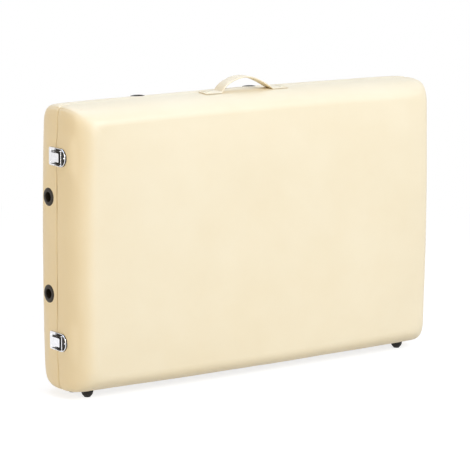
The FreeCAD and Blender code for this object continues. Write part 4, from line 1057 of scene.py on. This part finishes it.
def latches():
    pair = [Latch(way) for way in ("low", "top")]
    # chrome, and the near-black painted shade for the darkened faces
    chrome_and_painted_shade = ("chrome", "painted_shade_dark")
    bases, catches = ([part for latch in pair for part in make(latch)] for make in (latch_base, latch_catch))
    finish_piece("latch_base_plates", bases, "chrome", "front_half", "latch_bases", looks=chrome_and_painted_shade)
    finish_piece("latch_catch_plates", catches, "chrome", "rear_half", "latch_catches", looks=chrome_and_painted_shade)
    for latch in pair:
        lever = "latch_lever_" + latch.way
        cover = "latch_lever_cover_" + latch.way
        finish_piece(cover, latch_lever(latch), "chrome", lever, lever, looks=chrome_and_painted_shade)


BORE = 10 * MM  # radius of a socket
ARM_PROUD = 0.6 * MM  # how far the side sockets stand out of the cover


def bushing(low, high, axis, way, sink=0.0):
    """Flanged plastic bushing: a domed flange, a chamfered mouth and a plain bore."""
    index = "XYZ".index(axis)
    across = 1 if index == 0 else 0
    radius = (high[across] - low[across]) / 2
    centre = (low + high) / 2
    face = high[index] if way > 0 else low[index]
    back = low[index] if way > 0 else high[index]
    centre[index] = face - way * sink
    deep = abs(face - back) - sink
    lip = 1.5 * MM
    slope = (radius - BORE) / (8.5 * MM)
    rows = ((-deep, BORE), (-deep, SOCKET_TUBE - 0.4 * MM), (-lip - 2 * MM, SOCKET_TUBE - 0.4 * MM),
            (-lip - 2 * MM, radius - 0.2 * MM), (-lip * 0.95, radius),
            (-lip * 0.72, radius - 0.5 * MM * slope), (-lip * 0.42, radius - 2.4 * MM * slope),
            (-lip * 0.14, radius - 5 * MM * slope),
            (0.0, BORE + 1.3 * MM * slope), (-0.35 * MM, BORE + 0.45 * MM), (-1.4 * MM, BORE))
    profile = [(way * along, size) for along, size in rows]
    steps = 48
    points = [point for along, size in profile for point in circle(centre, axis, along, size, steps)]
    faces = rings_to_faces(steps, len(profile))
    last = (len(profile) - 1) * steps
    faces += [(last + step, last + (step + 1) % steps, (step + 1) % steps, step) for step in range(steps)]
    return piece_from(points, faces, "black_plastic")


def bushings():
    heads = [bushing(low, high, "X", -1) for low, high in islands("headrest_bushings")]
    finish_piece("headrest_sockets", heads, "black_plastic", "rear_half", "headrest_bushings")
    shape = PadShape("rear")
    arms = []
    for low, high in islands("armrest_bushings"):
        way = 1 if low.z > shape.middle[1] else -1
        centre = (low + high) / 2
        proud = abs((high if way > 0 else low).z - shape.middle[1]) - shape.half[1]
        sink = proud + shape.sag(centre.x, abs(centre.y)) - ARM_PROUD
        arms.append(bushing(low, high, "Z", way, sink))
    finish_piece("armrest_sockets", arms, "black_plastic", "rear_half", "armrest_bushings")


def feet(half):
    """Domed rubber feet, up to the crowned underside of the pad."""
    shape = PadShape(half)
    domes = []
    for low, high in islands(half + "_case_feet"):
        centre = (low + high) / 2
        centre.z = low.z
        wide = (high.x - low.x) / 2
        seat = high.z + shape.sag(centre.x, abs(centre.y)) + 1.2 * MM
        profile = [(0.0, wide * 0.38), (0.15 * MM, wide * 0.52)]
        for turn in range(30, 91, 10):
            angle = math.radians(turn)
            profile.append((seat * 0.92 * (1 - math.cos(angle)), wide * math.sin(angle) ** 0.8))
        profile += [(seat, wide)]
        domes.append(lathe(profile, centre, "Z", "black_rubber", 32))
    finish_piece(half + "_domed_feet", domes, "black_rubber", half + "_half", half + "_case_feet")


SLOT = (2.2 * MM, 0.25 * MM, 0.35 * MM)  # half sides of a slot in a screw head


def hinge_screw_heads(half):
    """Slotted countersunk heads, flush in the hinge leaves."""
    side = HALVES[half]
    heads = []
    for low, high in islands(half + "_hinge_screws"):
        centre = (low + high) / 2
        centre.y = low.y if side > 0 else high.y
        head = lathe([(side * 0.4 * MM, 3.0 * MM), (side * 0.02 * MM, 3.4 * MM),
                      (-side * 0.08 * MM, 3.3 * MM), (-side * 0.12 * MM, 3.0 * MM)], centre, "Y", "steel", 24)
        for room in (SLOT, SLOT[::-1]):
            carve(head, lambda shell: cutter_box(shell, centre, room))
        heads.append(head)
    finish_piece(half + "_hinge_screw_heads", heads, "steel", half + "_half", half + "_hinge_screws")


# ---- floor, light and camera ----

TARGET = Vector((-0.0132, 0.0, 0.3036))  # the camera fitted to the photograph looks at this place
AZIMUTH = math.radians(-36.909)
ELEVATION = math.radians(9.683)
ROLL = math.radians(0.349)
DISTANCE = 5.6646
LENS = 205.97
SENSOR = 36.0
SHIFT = (-0.0034, -0.0136)


def photo_camera():
    data = bpy.data.cameras.new("photo_camera")
    data.lens = LENS
    data.sensor_width = SENSOR
    data.shift_x, data.shift_y = SHIFT
    data.clip_end = 50.0
    camera = linked("photo_camera", data)
    back = Vector((math.sin(AZIMUTH) * math.cos(ELEVATION), -math.cos(AZIMUTH) * math.cos(ELEVATION),
                   math.sin(ELEVATION)))
    right = (-back).cross(Vector((0, 0, 1))).normalized()
    up = right.cross(-back)
    turned = Matrix((right * math.cos(ROLL) + up * math.sin(ROLL),
                     up * math.cos(ROLL) - right * math.sin(ROLL), back)).transposed()
    camera.matrix_world = Matrix.Translation(TARGET + back * DISTANCE) @ turned.to_4x4()
    bpy.context.scene.camera = camera


WHITE = (1, 1, 1)
FLOOR_REACH = 14.0
FLOOR_BOUNCE = (0.72, 0.69, 0.62)  # the floor as it lights the table
FLOOR_SHADE = (0.34, 0.34, 0.34)  # the part of its look that takes the shadow
FLOOR_GLOW = 0.80
FLOOR_FADE = (0.9, 2.2)  # distances between which it turns plain white
WORLD_FILL = (1.0, 0.742, 0.37)
WORLD_STRENGTH = 0.30


def background_glow(tree, glow, plain, target):
    """One shader as the camera, mirrors and glass see it, the plain one for every other ray."""
    path = tree.nodes.new("ShaderNodeLightPath").outputs
    seen = path["Is Camera Ray"]
    for ray in ("Is Glossy Ray", "Is Transmission Ray"):
        seen = wired(tree, "ShaderNodeMath", {0: seen, 1: path[ray]}, operation="MAXIMUM")[0]
    tree.links.new(wired(tree, "ShaderNodeMixShader", {0: seen, 1: plain, 2: glow})[0], target)


def floor():
    """White studio floor that keeps a soft shadow near the table and fades to plain white."""
    mesh = bpy.data.meshes.new("studio_floor")
    mesh.from_pydata([(FLOOR_REACH * x, FLOOR_REACH * y, 0) for x, y in ((-1, -1), (1, -1), (1, 1), (-1, 1))],
                     [], [(0, 1, 2, 3)])
    thing = linked("studio_floor", mesh)
    material = bpy.data.materials.new("studio_floor_paint")
    material.use_nodes = True
    tree = material.node_tree
    tree.nodes.clear()
    output = tree.nodes.new("ShaderNodeOutputMaterial")
    bounce, shaded = (wired(tree, "ShaderNodeBsdfDiffuse", {"Color": colour})[0]
                      for colour in (FLOOR_BOUNCE, FLOOR_SHADE))
    glow, white = (wired(tree, "ShaderNodeEmission", {"Strength": level})[0] for level in (FLOOR_GLOW, 1.0))
    lit = wired(tree, "ShaderNodeAddShader", {0: shaded, 1: glow})[0]
    place = tree.nodes.new("ShaderNodeNewGeometry").outputs["Position"]
    away = wired(tree, "ShaderNodeVectorMath", {0: place}, operation="LENGTH")["Value"]
    reach = {"Value": away, "From Min": FLOOR_FADE[0], "From Max": FLOOR_FADE[1]}
    fade = wired(tree, "ShaderNodeMapRange", reach, interpolation_type="SMOOTHSTEP")["Result"]
    seen = wired(tree, "ShaderNodeMixShader", {0: fade, 1: lit, 2: white})[0]
    background_glow(tree, seen, bounce, output.inputs["Surface"])
    mesh.materials.append(material)


def world():
    """White as it is seen, a warm fill as it lights the table."""
    scene_world = bpy.data.worlds.new("studio_world")
    bpy.context.scene.world = scene_world
    scene_world.use_nodes = True
    tree = scene_world.node_tree
    tree.nodes.clear()
    output = tree.nodes.new("ShaderNodeOutputWorld")
    white, fill = (wired(tree, "ShaderNodeBackground", {"Color": colour, "Strength": level})[0]
                   for colour, level in ((WHITE, 1.0), (WORLD_FILL, WORLD_STRENGTH)))
    background_glow(tree, white, fill, output.inputs["Surface"])


def lamp(name, place, target, size, power, colour):
    data = bpy.data.lights.new(name, "AREA")
    data.shape = "RECTANGLE"
    data.size, data.size_y = size
    data.energy = power
    data.color = colour
    thing = linked(name, data)
    thing.location = place
    thing.rotation_euler = (Vector(target) - Vector(place)).to_track_quat("-Z", "Y").to_euler()


def lights():
    lamp("key_softbox", (0.9, -4.2, 3.0), (0, 0, 0.3), (2.6, 2.2), 216.0, (0.777, 0.859, 1.0))
    lamp("top_softbox", (-0.4, 0.4, 3.2), (0, 0, 0.4), (3.0, 2.0), 56.0, (0.506, 0.68, 1.0))
    lamp("left_fill", (-4.2, -0.4, 1.0), (0, 0, 0.3), (1.6, 2.2), 54.0, (1.0, 0.836, 0.576))


# ---- the scene ----

dress_nodes()
photo_camera()
for half in HALVES:
    pad(half)
    feet(half)
    hinge_screw_heads(half)
carried = Strap()
strap_band(carried)
tail_patches(carried)
latches()
bushings()
floor()
world()
lights()
bpy.context.scene.view_settings.view_transform = "Standard"
